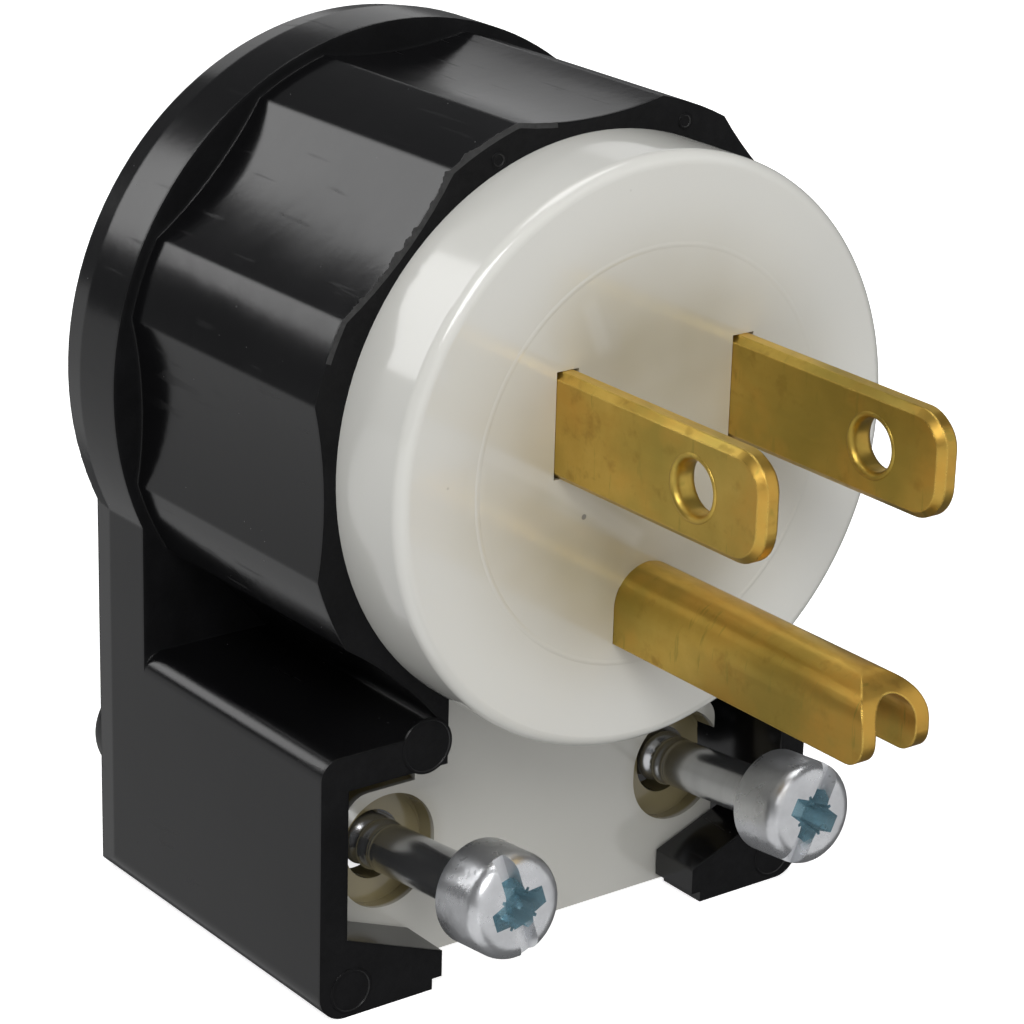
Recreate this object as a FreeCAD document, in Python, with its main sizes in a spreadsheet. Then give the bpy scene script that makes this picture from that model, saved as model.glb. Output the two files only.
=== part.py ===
import FreeCAD, Part
import math
import os
import Sketcher

# Angled grounded plug, type B: two parallel flat blades and a U-shaped ground
# pin in a round white face, a black scalloped housing behind it, and a cord
# box below with a white cord clamp and its two long screws.
#
# Frame: millimetres, +Z up. The origin is the centre of the contact face. The
# blades point along -Y, the housing lies behind the face (+Y), the cord leaves
# downwards (-Z) and X runs to the right as seen from in front.

doc = FreeCAD.newDocument("angled_plug")
sheet = doc.addObject("Spreadsheet::Sheet", "Sizes")

# driving dimensions: alias, value in millimetres or degrees, what it is
TABLE = [
    # contact set, a standard pattern
    ("blade_pitch", 12.7, "between the middles of the two blades"),
    ("blade_width", 6.3, "height of a blade"),
    ("blade_thick", 1.5, "thickness of a blade"),
    ("blade_reach", 17.5, "blade in front of the face"),
    ("blade_hole_dia", 3.7, "hole near the blade tip"),
    ("blade_hole_reach", 11.9, "hole middle in front of the face"),
    ("blade_corner", 2.2, "rounded corners at the blade tip"),
    ("blade_edge", 0.4, "coined bevel round the blade tip"),
    ("blade_rise", 3.1, "blades above the middle of the face"),
    ("pin_drop", 11.9, "ground pin below the blades"),
    ("pin_width", 4.8, "ground pin across its legs"),
    ("pin_leg", 2.2, "legs below the middle of the pin"),
    ("pin_sheet", 0.95, "sheet of the ground pin"),
    ("pin_reach", 21.2, "ground pin in front of the face"),
    ("pin_nose", 3.0, "round the tip is cut back by at the top, seen from the side"),
    ("pin_toe", 1.3, "rounded lower corners of its tip"),
    ("pin_root", 15.2, "end of its legs behind the face"),
    ("slot_gap", 0.12, "play round a blade in the face"),
    # white face body
    ("face_lap", 1.1, "round face beyond the bore, on the black rim"),
    ("face_proud", 6.0, "face in front of the black rim"),
    ("face_edge", 1.7, "rounded rim of the face"),
    ("spigot_gap", 0.2, "play of the face body in the bore"),
    ("spigot_depth", 6.0, "face body inside the bore"),
    ("retainer_thick", 3.5, "terminal retainer"),
    # black housing
    ("barrel_dia", 39.4, "over the lands between the scoops"),
    ("barrel_wall", 3.1, "wall of the barrel at the lands"),
    ("scoop_depth", 1.2, "depth of a finger scoop"),
    ("scoop_bend", 27.0, "radius of a finger scoop"),
    ("scoop_turn", 1.5, "scoops turned round the axis, degrees"),
    ("scoop_step", 45.0, "from one scoop to the next, degrees"),
    ("flange_lip", 0.7, "rear flange beyond the lands"),
    ("flange_front", 25.3, "front of the flange behind the face"),
    ("cover_line", 29.2, "where the tapered back edge begins"),
    ("cover_taper", 8.0, "taper of that edge, degrees"),
    ("back_face", 31.4, "back of the housing behind the face"),
    ("back_wall", 2.5, "wall of the back plate"),
    ("back_edge", 0.5, "rounded back edge"),
    ("box_half", 18.5, "half width of the cord box and of the back plate"),
    ("box_wall", 1.9, "side wall of the cord box"),
    ("box_edge", 1.2, "rounded long edges of the cord box"),
    ("box_corner", 1.8, "rounded lower outer corners"),
    ("roof_bite", 2.9, "top of the cord box above the lowest line of the barrel"),
    ("roof_thick", 2.2, "roof of the cord box"),
    ("box_tall", 16.8, "cord box from its top to its foot"),
    ("neck_half", 9.6, "half of the gap between the shoulders"),
    ("foot_deep", 3.6, "hook foot from front to back"),
    ("foot_tall", 5.4, "hook foot at the wall"),
    ("foot_tip", 2.4, "hook foot at its inner tip"),
    ("foot_long", 6.9, "inner tip of a foot from the wall"),
    ("foot_step", 0.7, "small step under the tip of a foot"),
    ("pocket_bend", 1.6, "rounded inner corner of the side pockets"),
    ("rib_high", 1.2, "grip rib on the back wall"),
    # cord clamp
    ("clamp_gap", 0.2, "clamp behind the feet"),
    ("clamp_side", 2.4, "clamp from the wall of the box"),
    ("clamp_ear", 3.5, "thickness of an ear"),
    ("saddle_half", 7.0, "half width of the saddle"),
    ("saddle_deep", 8.0, "saddle from front to back"),
    ("saddle_bend", 5.2, "cord groove"),
    ("saddle_dip", 2.3, "depth of the cord groove"),
    ("ear_below", 4.8, "top of the ears below the top of the cord box"),
    ("neck_clear", 0.4, "top of the clamp neck below the bore"),
    ("neck_play", 0.4, "play of the neck between the shoulders"),
    ("clamp_lift", 0.2, "clamp above the foot of the box"),
    ("clamp_corner", 1.6, "rounded lower corners of the clamp"),
    ("clamp_travel", 4.0, "clamp travel towards the back"),
    ("seat_dia", 6.9, "recess for a screw head"),
    ("seat_deep", 1.5, "depth of that recess"),
    ("shank_slot_dia", 3.9, "passage of a screw through an ear"),
    # clamp screws
    ("screw_in", 5.45, "clamp screw from the wall of the box"),
    ("screw_below", 7.7, "clamp screw below the top of the cord box, at the plane of the face"),
    ("screw_lean", 6.0, "screw leans, head up, degrees"),
    ("screw_out", 0.7, "underside of the head behind the face"),
    ("head_dia", 6.4, "screw head"),
    ("head_long", 4.0, "length of the head"),
    ("head_edge", 0.7, "rounded edge of the head"),
    ("shank_dia", 3.1, "plain shank"),
    ("shank_long", 8.4, "length of the plain shank"),
    ("screw_long", 18.0, "under the head"),
    ("screw_core_dia", 3.3, "threaded length, pitch diameter"),
    ("screw_travel", 9.8, "how far a screw can be driven in"),
    ("recess_wide", 1.0, "arm of the driver recess"),
    ("recess_deep", 1.4, "depth of the driver recess"),
    ("thread_gap", 0.05, "radial play of a screw in its hole"),
    ("boss_dia", 6.8, "boss of a clamp screw"),
    ("boss_gap", 0.35, "boss behind the clamp at the end of its travel"),
    ("knob_dia", 6.8, "round knob on the back"),
    ("knob_tall", 1.2, "height of the knob"),
    ("knob_edge", 0.8, "rounded edge of the knob"),
    ("knob_in", 3.8, "knob from the side of the box"),
    ("knob_below", 7.9, "knob below the top of the cord box"),
    ("boss_skin", 1.0, "wall behind the screw hole"),
    # terminals
    ("tab_reach", 23.2, "blade root behind the face"),
    ("terminal_y", 20.0, "terminal screw behind the face"),
    ("washer_side", 6.6, "wire clamp plate"),
    ("washer_thick", 1.0, "thickness of the wire clamp plate"),
    ("term_head_dia", 5.6, "terminal screw head"),
    ("term_head_long", 2.2, "length of that head"),
    ("term_dia", 2.9, "terminal screw"),
    ("term_tail", 2.6, "terminal screw beyond its tab"),
    # fixing screws
    ("fix_in", 4.8, "assembly screw from the bore"),
    ("fix_drop", 6.0, "assembly screw below the axis"),
    ("fix_dia", 2.9, "assembly screw"),
    ("fix_head_dia", 5.4, "assembly screw head"),
    ("fix_head_long", 2.0, "length of that head"),
    ("fix_sunk", 1.2, "head below the back face"),
    ("fix_recess_dia", 6.2, "recess of that head"),
    ("fix_bite", 8.6, "tip of the assembly screw behind the face"),
    ("column_dia", 8.0, "column of the assembly screw"),
    ("hold_in", 6.2, "retainer screw from the bore"),
    ("hold_rise", 8.4, "retainer screw above the axis"),
    ("hold_dia", 2.4, "retainer screw"),
    ("hold_head_dia", 4.6, "retainer screw head"),
    ("hold_head_long", 1.8, "length of that head"),
    ("hold_bite", 7.8, "tip of the retainer screw behind the face"),
]


class Size:
    """A number together with the sheet expression that gives it."""

    def __init__(self, value, text):
        self.value = value
        self.text = text

    def _join(self, other, sign, flip=False):
        other = lift(other)
        a, b = (other, self) if flip else (self, other)
        value = {"+": a.value + b.value, "-": a.value - b.value,
                 "*": a.value * b.value,
                 "/": a.value / b.value if b.value else 0.0}[sign]
        return Size(value, "(%s %s %s)" % (a.text, sign, b.text))

    def __add__(self, other):
        return self._join(other, "+")

    def __radd__(self, other):
        return self._join(other, "+", True)

    def __sub__(self, other):
        return self._join(other, "-")

    def __rsub__(self, other):
        return self._join(other, "-", True)

    def __mul__(self, other):
        return self._join(other, "*")

    def __rmul__(self, other):
        return self._join(other, "*", True)

    def __truediv__(self, other):
        return self._join(other, "/")

    def __neg__(self):
        return 0 - self


def lift(value):
    return value if isinstance(value, Size) else Size(float(value), repr(float(value)))


def root(value):
    value = lift(value)
    return Size(math.sqrt(value.value), "sqrt(%s)" % value.text)


def tangent(angle):
    return Size(math.tan(math.radians(angle.value)), "tan(%s)" % angle.text)


def cosine(angle):
    return Size(math.cos(math.radians(angle.value)), "cos(%s)" % angle.text)


def sine(angle):
    return Size(math.sin(math.radians(angle.value)), "sin(%s)" % angle.text)


class Sheet:
    """Attribute access to the cells of the spreadsheet."""


s = Sheet()
for row, (alias, number, note) in enumerate(TABLE, 1):
    sheet.set("A%d" % row, note)
    sheet.set("B%d" % row, str(number))
    sheet.setAlias("B%d" % row, alias)
    setattr(s, alias, Size(float(number), "Sizes." + alias))
doc.recompute()


def bind(obj, prop, size):
    """Set a property from a size: by expression where it holds a cell."""
    size = lift(size)
    if "Sizes." in size.text:
        obj.setExpression(prop, size.text)
    else:
        target = obj
        names = prop.split(".")
        if len(names) == 1:
            setattr(target, prop, size.value)
        else:
            obj.setExpression(prop, size.text)


def place(obj, x, y, z):
    for name, size in (("x", x), ("y", y), ("z", z)):
        bind(obj, "Placement.Base." + name, size)


TURN = {
    "+y": FreeCAD.Rotation(FreeCAD.Vector(1, 0, 0), -90),
    "-y": FreeCAD.Rotation(FreeCAD.Vector(1, 0, 0), 90),
    "+x": FreeCAD.Rotation(FreeCAD.Vector(0, 1, 0), 90),
    "-x": FreeCAD.Rotation(FreeCAD.Vector(0, 1, 0), -90),
    "+z": FreeCAD.Rotation(),
    "-z": FreeCAD.Rotation(FreeCAD.Vector(1, 0, 0), 180),
}


def cylinder(name, radius, length, x, y, z, way="+y"):
    obj = doc.addObject("Part::Cylinder", name)
    bind(obj, "Radius", radius)
    bind(obj, "Height", length)
    obj.Placement = FreeCAD.Placement(FreeCAD.Vector(), TURN[way])
    place(obj, x, y, z)
    return obj


def leaning(name, radius, length, x, y, z):
    """A cylinder along a clamp screw: towards the back and down."""
    obj = doc.addObject("Part::Cylinder", name)
    bind(obj, "Radius", radius)
    bind(obj, "Height", length)
    obj.Placement = FreeCAD.Placement(
        FreeCAD.Vector(),
        FreeCAD.Rotation(FreeCAD.Vector(-1, 0, 0), 90 + s.screw_lean.value))
    obj.setExpression("Placement.Rotation.Angle", "90 + Sizes.screw_lean")
    place(obj, x, y, z)
    return obj


def block(name, x0, x1, y0, y1, z0, z1):
    obj = doc.addObject("Part::Box", name)
    bind(obj, "Length", lift(x1) - x0)
    bind(obj, "Width", lift(y1) - y0)
    bind(obj, "Height", lift(z1) - z0)
    place(obj, x0, y0, z0)
    return obj


def fuse(name, parts):
    obj = doc.addObject("Part::MultiFuse", name)
    obj.Shapes = parts
    obj.Refine = True
    return obj


def cut(name, base, tool):
    obj = doc.addObject("Part::Cut", name)
    obj.Base = base
    obj.Tool = tool
    obj.Refine = True
    return obj


def common(name, parts):
    obj = doc.addObject("Part::MultiCommon", name)
    obj.Shapes = parts
    obj.Refine = True
    return obj


def plane(body, role):
    return [f for f in body.Origin.OriginFeatures if f.Role == role][0]


def sketch_on(body, name, role, offset=None):
    sk = body.newObject("Sketcher::SketchObject", name)
    sk.AttachmentSupport = (plane(body, role), [""])
    sk.MapMode = "FlatFace"
    if offset is not None:
        bind(sk, "AttachmentOffset.Base.z", offset)
    return sk


def fix_point(sk, geo, pos, a, b):
    for kind, size in (("DistanceX", a), ("DistanceY", b)):
        if size is None:
            continue
        size = lift(size)
        at = sk.addConstraint(Sketcher.Constraint(kind, -1, 1, geo, pos, size.value))
        if "Sizes." in size.text:
            sk.setExpression("Constraints[%d]" % at, size.text)


def outline(sk, points):
    """A closed polygon whose corners are all held from the sheet."""
    n0 = sk.GeometryCount
    ends = [(lift(a).value, lift(b).value) for a, b in points]
    n = len(points)
    for i in range(n):
        a, b = ends[i], ends[(i + 1) % n]
        sk.addGeometry(Part.LineSegment(FreeCAD.Vector(a[0], a[1], 0),
                                        FreeCAD.Vector(b[0], b[1], 0)), False)
    for i in range(n):
        sk.addConstraint(Sketcher.Constraint("Coincident", n0 + i, 2, n0 + (i + 1) % n, 1))
    for i in range(n):
        fix_point(sk, n0 + i, 1, points[i][0], points[i][1])


def ring(sk, a, b, radius):
    """A full circle held from the sheet."""
    radius = lift(radius)
    geo = sk.addGeometry(Part.Circle(FreeCAD.Vector(lift(a).value, lift(b).value, 0),
                                     FreeCAD.Vector(0, 0, 1), radius.value), False)
    at = sk.addConstraint(Sketcher.Constraint("Radius", geo, radius.value))
    if "Sizes." in radius.text:
        sk.setExpression("Constraints[%d]" % at, radius.text)
    fix_point(sk, geo, 3, a, b)


def pad(body, name, sk, length, reverse=False, middle=False):
    obj = body.newObject("PartDesign::Pad", name)
    obj.Profile = sk
    bind(obj, "Length", length)
    obj.Reversed = reverse
    obj.Midplane = middle
    sk.Visibility = False
    return obj


def pocket(body, name, sk, length=None, reverse=False, middle=False):
    obj = body.newObject("PartDesign::Pocket", name)
    obj.Profile = sk
    if length is None:
        obj.Type = 1
    else:
        bind(obj, "Length", length)
    obj.Reversed = reverse
    obj.Midplane = middle
    return obj


def edges_of(feature, test):
    doc.recompute()
    return ["Edge%d" % (i + 1) for i, e in enumerate(feature.Shape.Edges) if test(e)]


def fillet(body, name, base, names, radius):
    obj = body.newObject("PartDesign::Fillet", name)
    obj.Base = (base, names)
    bind(obj, "Radius", radius)
    return obj


def chamfer(body, name, base, names, size):
    obj = body.newObject("PartDesign::Chamfer", name)
    obj.Base = (base, names)
    bind(obj, "Size", size)
    return obj


def flat_at(axis, value, tol=1e-4):
    """Edges that lie wholly in one plane across an axis."""
    def test(edge):
        box = edge.BoundBox
        low = getattr(box, axis + "Min")
        high = getattr(box, axis + "Max")
        return abs(low - value) < tol and abs(high - value) < tol
    return test


nodes = []


def node(obj, label):
    obj.Label = label
    nodes.append(obj)
    return obj


# ---------------------------------------------------------------- stations
blade_z = s.blade_rise
pin_z = s.blade_rise - s.pin_drop
front = s.face_proud                       # front plane of the black housing
inner_back = s.back_face - s.back_wall     # inside of the back plate
seat_back = front + s.spigot_depth         # back of the face body
retainer_back = seat_back + s.retainer_thick
clamp_front = front + s.foot_deep + s.clamp_gap
boss_front = (clamp_front + s.clamp_ear + s.clamp_travel
              + s.boss_dia / 2 * tangent(s.screw_lean) + s.boss_gap)
wall_in = s.box_half - s.box_wall
bore_r = s.barrel_dia / 2 - s.barrel_wall
face_r = bore_r + s.face_lap
flange_r = s.barrel_dia / 2 + s.flange_lip
roof = s.barrel_dia / 2 - s.roof_bite       # top of the cord box, below the axis
box_floor = roof + s.box_tall
floor = -box_floor
neck_top = bore_r + s.neck_clear
clamp_top = roof + s.ear_below
screw_drop = roof + s.screw_below
screw_x = wall_in - s.screw_in
clamp_half = wall_in - s.clamp_side
foot_inner = wall_in - s.foot_long
fix_x = bore_r - s.fix_in
hold_x = bore_r - s.hold_in
lean = tangent(s.screw_lean)
along = cosine(s.screw_lean)


def screw_z(y):
    """Height of a clamp screw's axis at a station behind the face."""
    return -screw_drop - (lift(y) * lean)


# ---------------------------------------------------------------- blades
def blade(label, side):
    """A flat blade with rounded corners, a hole and a bevelled tip."""
    body = doc.addObject("PartDesign::Body", label)
    sk = sketch_on(body, label + "_profile", "YZ_Plane")
    half = s.blade_width / 2
    tip = -s.blade_reach
    outline(sk, [
        (tip, blade_z - half),
        (s.tab_reach, blade_z - half),
        (s.tab_reach, blade_z + half),
        (tip, blade_z + half),
    ])
    strip = pad(body, label + "_flat", sk, s.blade_thick, middle=True)
    fillet(body, label + "_corners", strip,
           edges_of(strip, lambda e: flat_at("Y", tip.value)(e)
                    and e.BoundBox.XMax - e.BoundBox.XMin > 1e-3), s.blade_corner)
    holes = sketch_on(body, label + "_holes", "YZ_Plane")
    ring(holes, -s.blade_hole_reach, blade_z, s.blade_hole_dia / 2)
    ring(holes, s.terminal_y, blade_z, s.term_dia / 2 + s.thread_gap)
    pierced = pocket(body, label + "_pierced", holes, s.blade_thick * 2, middle=True)
    # bevel on both faces along the cut tip
    limit = (tip + s.blade_corner).value
    half_t = s.blade_thick.value / 2

    def at_tip(edge):
        box = edge.BoundBox
        return (abs(abs(box.XMin) - half_t) < 1e-4 and abs(box.XMin - box.XMax) < 1e-4
                and box.YMax < limit + 1e-3)
    bevel = chamfer(body, label + "_bevel", pierced, edges_of(pierced, at_tip), s.blade_edge)
    body.Tip = bevel
    place(body, side * s.blade_pitch / 2, 0, 0)
    return node(body, label)


blade_left = blade("blade_left", -1)
blade_right = blade("blade_right", 1)

# ---------------------------------------------------------------- ground pin
# A sheet folded over a round back: a half tube on top of two legs.
pin_body = doc.addObject("PartDesign::Body", "pin_shell")


def pin_section(sk, radius, low):
    """Round top, straight legs, held from the sheet."""
    radius = lift(radius)
    low = lift(low)
    cz = pin_z
    c = FreeCAD.Vector(0, cz.value, 0)
    arc = sk.addGeometry(Part.ArcOfCircle(
        Part.Circle(c, FreeCAD.Vector(0, 0, 1), radius.value), 0, math.pi), False)
    left = sk.addGeometry(Part.LineSegment(
        FreeCAD.Vector(-radius.value, cz.value, 0),
        FreeCAD.Vector(-radius.value, low.value, 0)), False)
    foot = sk.addGeometry(Part.LineSegment(
        FreeCAD.Vector(-radius.value, low.value, 0),
        FreeCAD.Vector(radius.value, low.value, 0)), False)
    right = sk.addGeometry(Part.LineSegment(
        FreeCAD.Vector(radius.value, low.value, 0),
        FreeCAD.Vector(radius.value, cz.value, 0)), False)
    sk.addConstraint(Sketcher.Constraint("Coincident", arc, 2, left, 1))
    sk.addConstraint(Sketcher.Constraint("Coincident", left, 2, foot, 1))
    sk.addConstraint(Sketcher.Constraint("Coincident", foot, 2, right, 1))
    sk.addConstraint(Sketcher.Constraint("Coincident", right, 2, arc, 1))
    fix_point(sk, left, 1, -radius, cz)
    fix_point(sk, left, 2, -radius, low)
    fix_point(sk, right, 1, radius, low)
    fix_point(sk, right, 2, radius, cz)
    fix_point(sk, arc, 3, None, cz)


sk = sketch_on(pin_body, "pin_outside", "XZ_Plane", s.pin_reach)
pin_section(sk, s.pin_width / 2, pin_z - s.pin_leg)
pin_solid = pad(pin_body, "pin_length", sk, s.pin_reach + s.pin_root, reverse=True)
pin_body.Tip = pin_solid
pin_core = doc.addObject("PartDesign::Body", "pin_core")
sk = sketch_on(pin_core, "pin_inside", "XZ_Plane", s.pin_reach + 1)
pin_section(sk, s.pin_width / 2 - s.pin_sheet, pin_z - s.pin_leg - 1)
core_pad = pad(pin_core, "pin_channel", sk, s.pin_reach + s.pin_root + 2, reverse=True)
pin_core.Tip = core_pad
# seen from the side the tip is round: the arch is cut back further than the legs
pin_top = pin_z + s.pin_width / 2
pin_foot = pin_z - s.pin_leg


def round_off(label, radius, z, down):
    """What a round of this radius takes off the tip, at its top or at its foot."""
    mid = z - radius if down else z + radius
    z0, z1 = (mid, z + 1) if down else (z - 1, mid)
    lump = block(label + "_lump", -s.pin_width, s.pin_width,
                 -s.pin_reach - 1, -s.pin_reach + radius, z0, z1)
    roller = cylinder(label + "_roller", radius, s.pin_width * 4,
                      -s.pin_width * 2, -s.pin_reach + radius, mid, "+x")
    return cut(label, lump, roller)


pin_hollow = cut("pin_hollow", pin_body, fuse("pin_inner", [
    pin_core, round_off("pin_nose_cut", s.pin_nose, pin_top, True),
    round_off("pin_toe_cut", s.pin_toe, pin_foot, False)]))
pin_tab = block("pin_tab", -s.washer_side / 2, s.washer_side / 2,
                seat_back + 1, s.tab_reach, pin_z - s.blade_thick / 2, pin_z + s.blade_thick / 2)
pin_hole = cylinder("pin_hole", s.term_dia / 2 + s.thread_gap, s.pin_drop, 0, s.terminal_y,
                    pin_z - s.pin_drop / 2, "+z")
ground_pin = node(cut("ground_pin", fuse("pin_all", [pin_hollow, pin_tab]), pin_hole), "ground_pin")

# ---------------------------------------------------------------- face body
face = doc.addObject("PartDesign::Body", "face_body")
sk = sketch_on(face, "face_circle", "XZ_Plane")
ring(sk, 0, 0, face_r)
disc = pad(face, "face_disc", sk, front, reverse=True)
rim = fillet(face, "face_rim", disc, edges_of(disc, flat_at("Y", 0)), s.face_edge)
sk = sketch_on(face, "spigot_circle", "XZ_Plane", -front)
ring(sk, 0, 0, bore_r - s.spigot_gap)
spigot = pad(face, "face_spigot", sk, s.spigot_depth, reverse=True)
doc.recompute()
before = spigot.Shape.Volume
sk = sketch_on(face, "contact_slots", "XZ_Plane", s.face_edge * 2)
for side in (-1, 1):
    mid = side * s.blade_pitch / 2
    half_t = s.blade_thick / 2 + s.slot_gap
    half_w = s.blade_width / 2 + s.slot_gap
    outline(sk, [(mid - half_t, blade_z - half_w), (mid + half_t, blade_z - half_w),
                 (mid + half_t, blade_z + half_w), (mid - half_t, blade_z + half_w)])
pin_section(sk, s.pin_width / 2 + s.slot_gap, pin_z - s.pin_leg - s.slot_gap)
slots = pocket(face, "face_slots", sk)
sk = sketch_on(face, "fixing_holes", "XZ_Plane", -s.hold_bite + 0.4)
for side in (-1, 1):
    ring(sk, side * hold_x, s.hold_rise, s.hold_dia / 2 + s.thread_gap)
holds = pocket(face, "hold_holes", sk, s.spigot_depth * 3)
sk = sketch_on(face, "assembly_holes", "XZ_Plane", -s.fix_bite + 0.4)
for side in (-1, 1):
    ring(sk, side * fix_x, -s.fix_drop, s.fix_dia / 2 + s.thread_gap)
fixes = pocket(face, "fix_holes", sk, s.spigot_depth * 3)
face.Tip = fixes
doc.recompute()
if not (fixes.Shape.Volume < holds.Shape.Volume < slots.Shape.Volume < before):
    raise RuntimeError("a pocket of the face body cut nothing")
node(face, "face_body")

# ---------------------------------------------------------------- retainer
ret = doc.addObject("PartDesign::Body", "terminal_retainer")
sk = sketch_on(ret, "retainer_plan", "XZ_Plane", -seat_back)
ring(sk, 0, 0, bore_r - s.spigot_gap * 2)
for side in (-1, 1):
    ring(sk, side * hold_x, s.hold_rise, s.hold_dia / 2 + s.spigot_gap)
    ring(sk, side * fix_x, -s.fix_drop, s.fix_dia / 2 + s.spigot_gap)
    mid = side * s.blade_pitch / 2
    half_t = s.blade_thick / 2 + s.slot_gap
    half_w = s.blade_width / 2 + s.slot_gap
    outline(sk, [(mid - half_t, blade_z - half_w), (mid + half_t, blade_z - half_w),
                 (mid + half_t, blade_z + half_w), (mid - half_t, blade_z + half_w)])
tab_w = s.washer_side / 2 + s.slot_gap
outline(sk, [(-tab_w, pin_z - s.pin_leg - s.slot_gap), (tab_w, pin_z - s.pin_leg - s.slot_gap),
             (tab_w, pin_z + s.pin_width / 2 + s.slot_gap),
             (-tab_w, pin_z + s.pin_width / 2 + s.slot_gap)])
ret_pad = pad(ret, "retainer_plate", sk, s.retainer_thick, reverse=True)
ret.Tip = ret_pad
node(ret, "terminal_retainer")

# ---------------------------------------------------------------- housing
# back plate with its flange: a keyhole outline with a rounded back edge
back = doc.addObject("PartDesign::Body", "back_plate")
sk = sketch_on(back, "flange_circle", "XZ_Plane", -s.flange_front)
ring(sk, 0, 0, flange_r)
flange = pad(back, "flange", sk, s.cover_line - s.flange_front, reverse=True)
sk = sketch_on(back, "lower_plate", "XZ_Plane", -s.flange_front)
outline(sk, [(-s.box_half, 0), (-s.box_half, floor), (s.box_half, floor), (s.box_half, 0)])
lower = pad(back, "lower_back", sk, s.cover_line - s.flange_front, reverse=True)
# behind the line the edge tapers in
sk = sketch_on(back, "cover_circle", "XZ_Plane", -s.cover_line)
ring(sk, 0, 0, flange_r)
cover = pad(back, "cover_round", sk, s.back_face - s.cover_line, reverse=True)
bind(cover, "TaperAngle", -s.cover_taper)
sk = sketch_on(back, "cover_plate", "XZ_Plane", -s.cover_line)
under = floor - s.back_wall
outline(sk, [(-s.box_half, 0), (-s.box_half, under), (s.box_half, under), (s.box_half, 0)])
cover = pad(back, "cover_lower", sk, s.back_face - s.cover_line, reverse=True)
bind(cover, "TaperAngle", -s.cover_taper)
soft = fillet(back, "back_rounding", cover,
              edges_of(cover, flat_at("Y", s.back_face.value)), s.back_edge)
back.Tip = soft

# cord box, with rounded long edges
hull = doc.addObject("PartDesign::Body", "box_hull")
sk = sketch_on(hull, "box_section", "XZ_Plane", -front)
outline(sk, [(-s.box_half, floor), (s.box_half, floor),
             (s.box_half, -roof), (-s.box_half, -roof)])
hull_pad = pad(hull, "box_length", sk, s.flange_front - front + s.back_wall, reverse=True)
hull_soft = fillet(hull, "box_rounding", hull_pad,
                   edges_of(hull_pad, lambda e: e.BoundBox.YMax - e.BoundBox.YMin > 1
                            and e.BoundBox.ZMin > floor.value + 1), s.box_edge)
hull.Tip = hull_soft

barrel = cylinder("barrel", s.barrel_dia / 2, s.flange_front - front + s.back_wall, 0, front, 0)
# rounded corners where the barrel meets the roof of the cord box
corners = []
for side in (-1, 1):
    reach = root(s.roof_bite * (s.barrel_dia - s.roof_bite))
    x0 = reach - s.pocket_bend
    x1 = reach + s.pocket_bend * 1.6
    tag = "left" if side < 0 else "right"
    lump = block("corner_lump_" + tag, side * x0 if side > 0 else -x1,
                 side * x1 if side > 0 else -x0, front, s.flange_front + s.back_wall,
                 -roof - s.roof_thick / 2, -roof + s.pocket_bend * 1.4)
    hollow = cylinder("corner_hollow_" + tag, s.pocket_bend * 1.35,
                      s.flange_front * 2, side * (x1 + s.pocket_bend * 0.1), front - 1,
                      -roof + s.pocket_bend * 1.35)
    corners.append(cut("corner_" + tag, lump, hollow))
shell = fuse("shell", [barrel, hull, back] + corners)

# eight finger scoops round the barrel, in front of the flange
scoops = []
for i in range(8):
    turn = s.scoop_turn + s.scoop_step * i
    far = s.barrel_dia / 2 - s.scoop_depth + s.scoop_bend
    scoops.append(cylinder("scoop_%d" % i, s.scoop_bend, s.flange_front - front + 2,
                           far * cosine(turn), front - 2, far * sine(turn)))
scoop_all = fuse("scoops", scoops)
# the scoops stop above the roof of the cord box
scoop_room = block("scoop_room", -s.barrel_dia, s.barrel_dia, front - 3, s.flange_front,
                   -roof, s.barrel_dia)
scooped = cut("scooped", shell, common("scoops_above", [scoop_all, scoop_room]))

# inside: the bore, the cord box, and the way between them
bore = cylinder("bore", bore_r, inner_back - front + 1, 0, front - 1, 0)
room = block("box_room", -wall_in, wall_in, front - 1, inner_back, floor - 1,
             -roof - s.roof_thick)
neck = block("neck_room", -s.neck_half, s.neck_half, front - 1, inner_back,
             -roof - s.roof_thick - 1, -bore_r / 2)
opened = cut("opened", scooped, fuse("rooms", [bore, room, neck]))

# hook feet at the front corners keep the clamp in
feet = []
for side in (-1, 1):
    tag = "left" if side < 0 else "right"
    foot_body = doc.addObject("PartDesign::Body", "foot_body_" + tag)
    sk = sketch_on(foot_body, "foot_profile_" + tag, "XZ_Plane", -front)
    pts = [(wall_in + s.box_wall / 2, floor), (foot_inner + s.foot_step, floor),
           (foot_inner + s.foot_step, floor + s.foot_step),
           (foot_inner, floor + s.foot_step),
           (foot_inner, floor + s.foot_tip),
           (wall_in + s.box_wall / 2, floor + s.foot_tall)]
    outline(sk, [(side * a, b) for a, b in pts])
    foot_pad = pad(foot_body, "foot_" + tag, sk, s.foot_deep, reverse=True)
    foot_body.Tip = foot_pad
    feet.append(foot_body)

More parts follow.
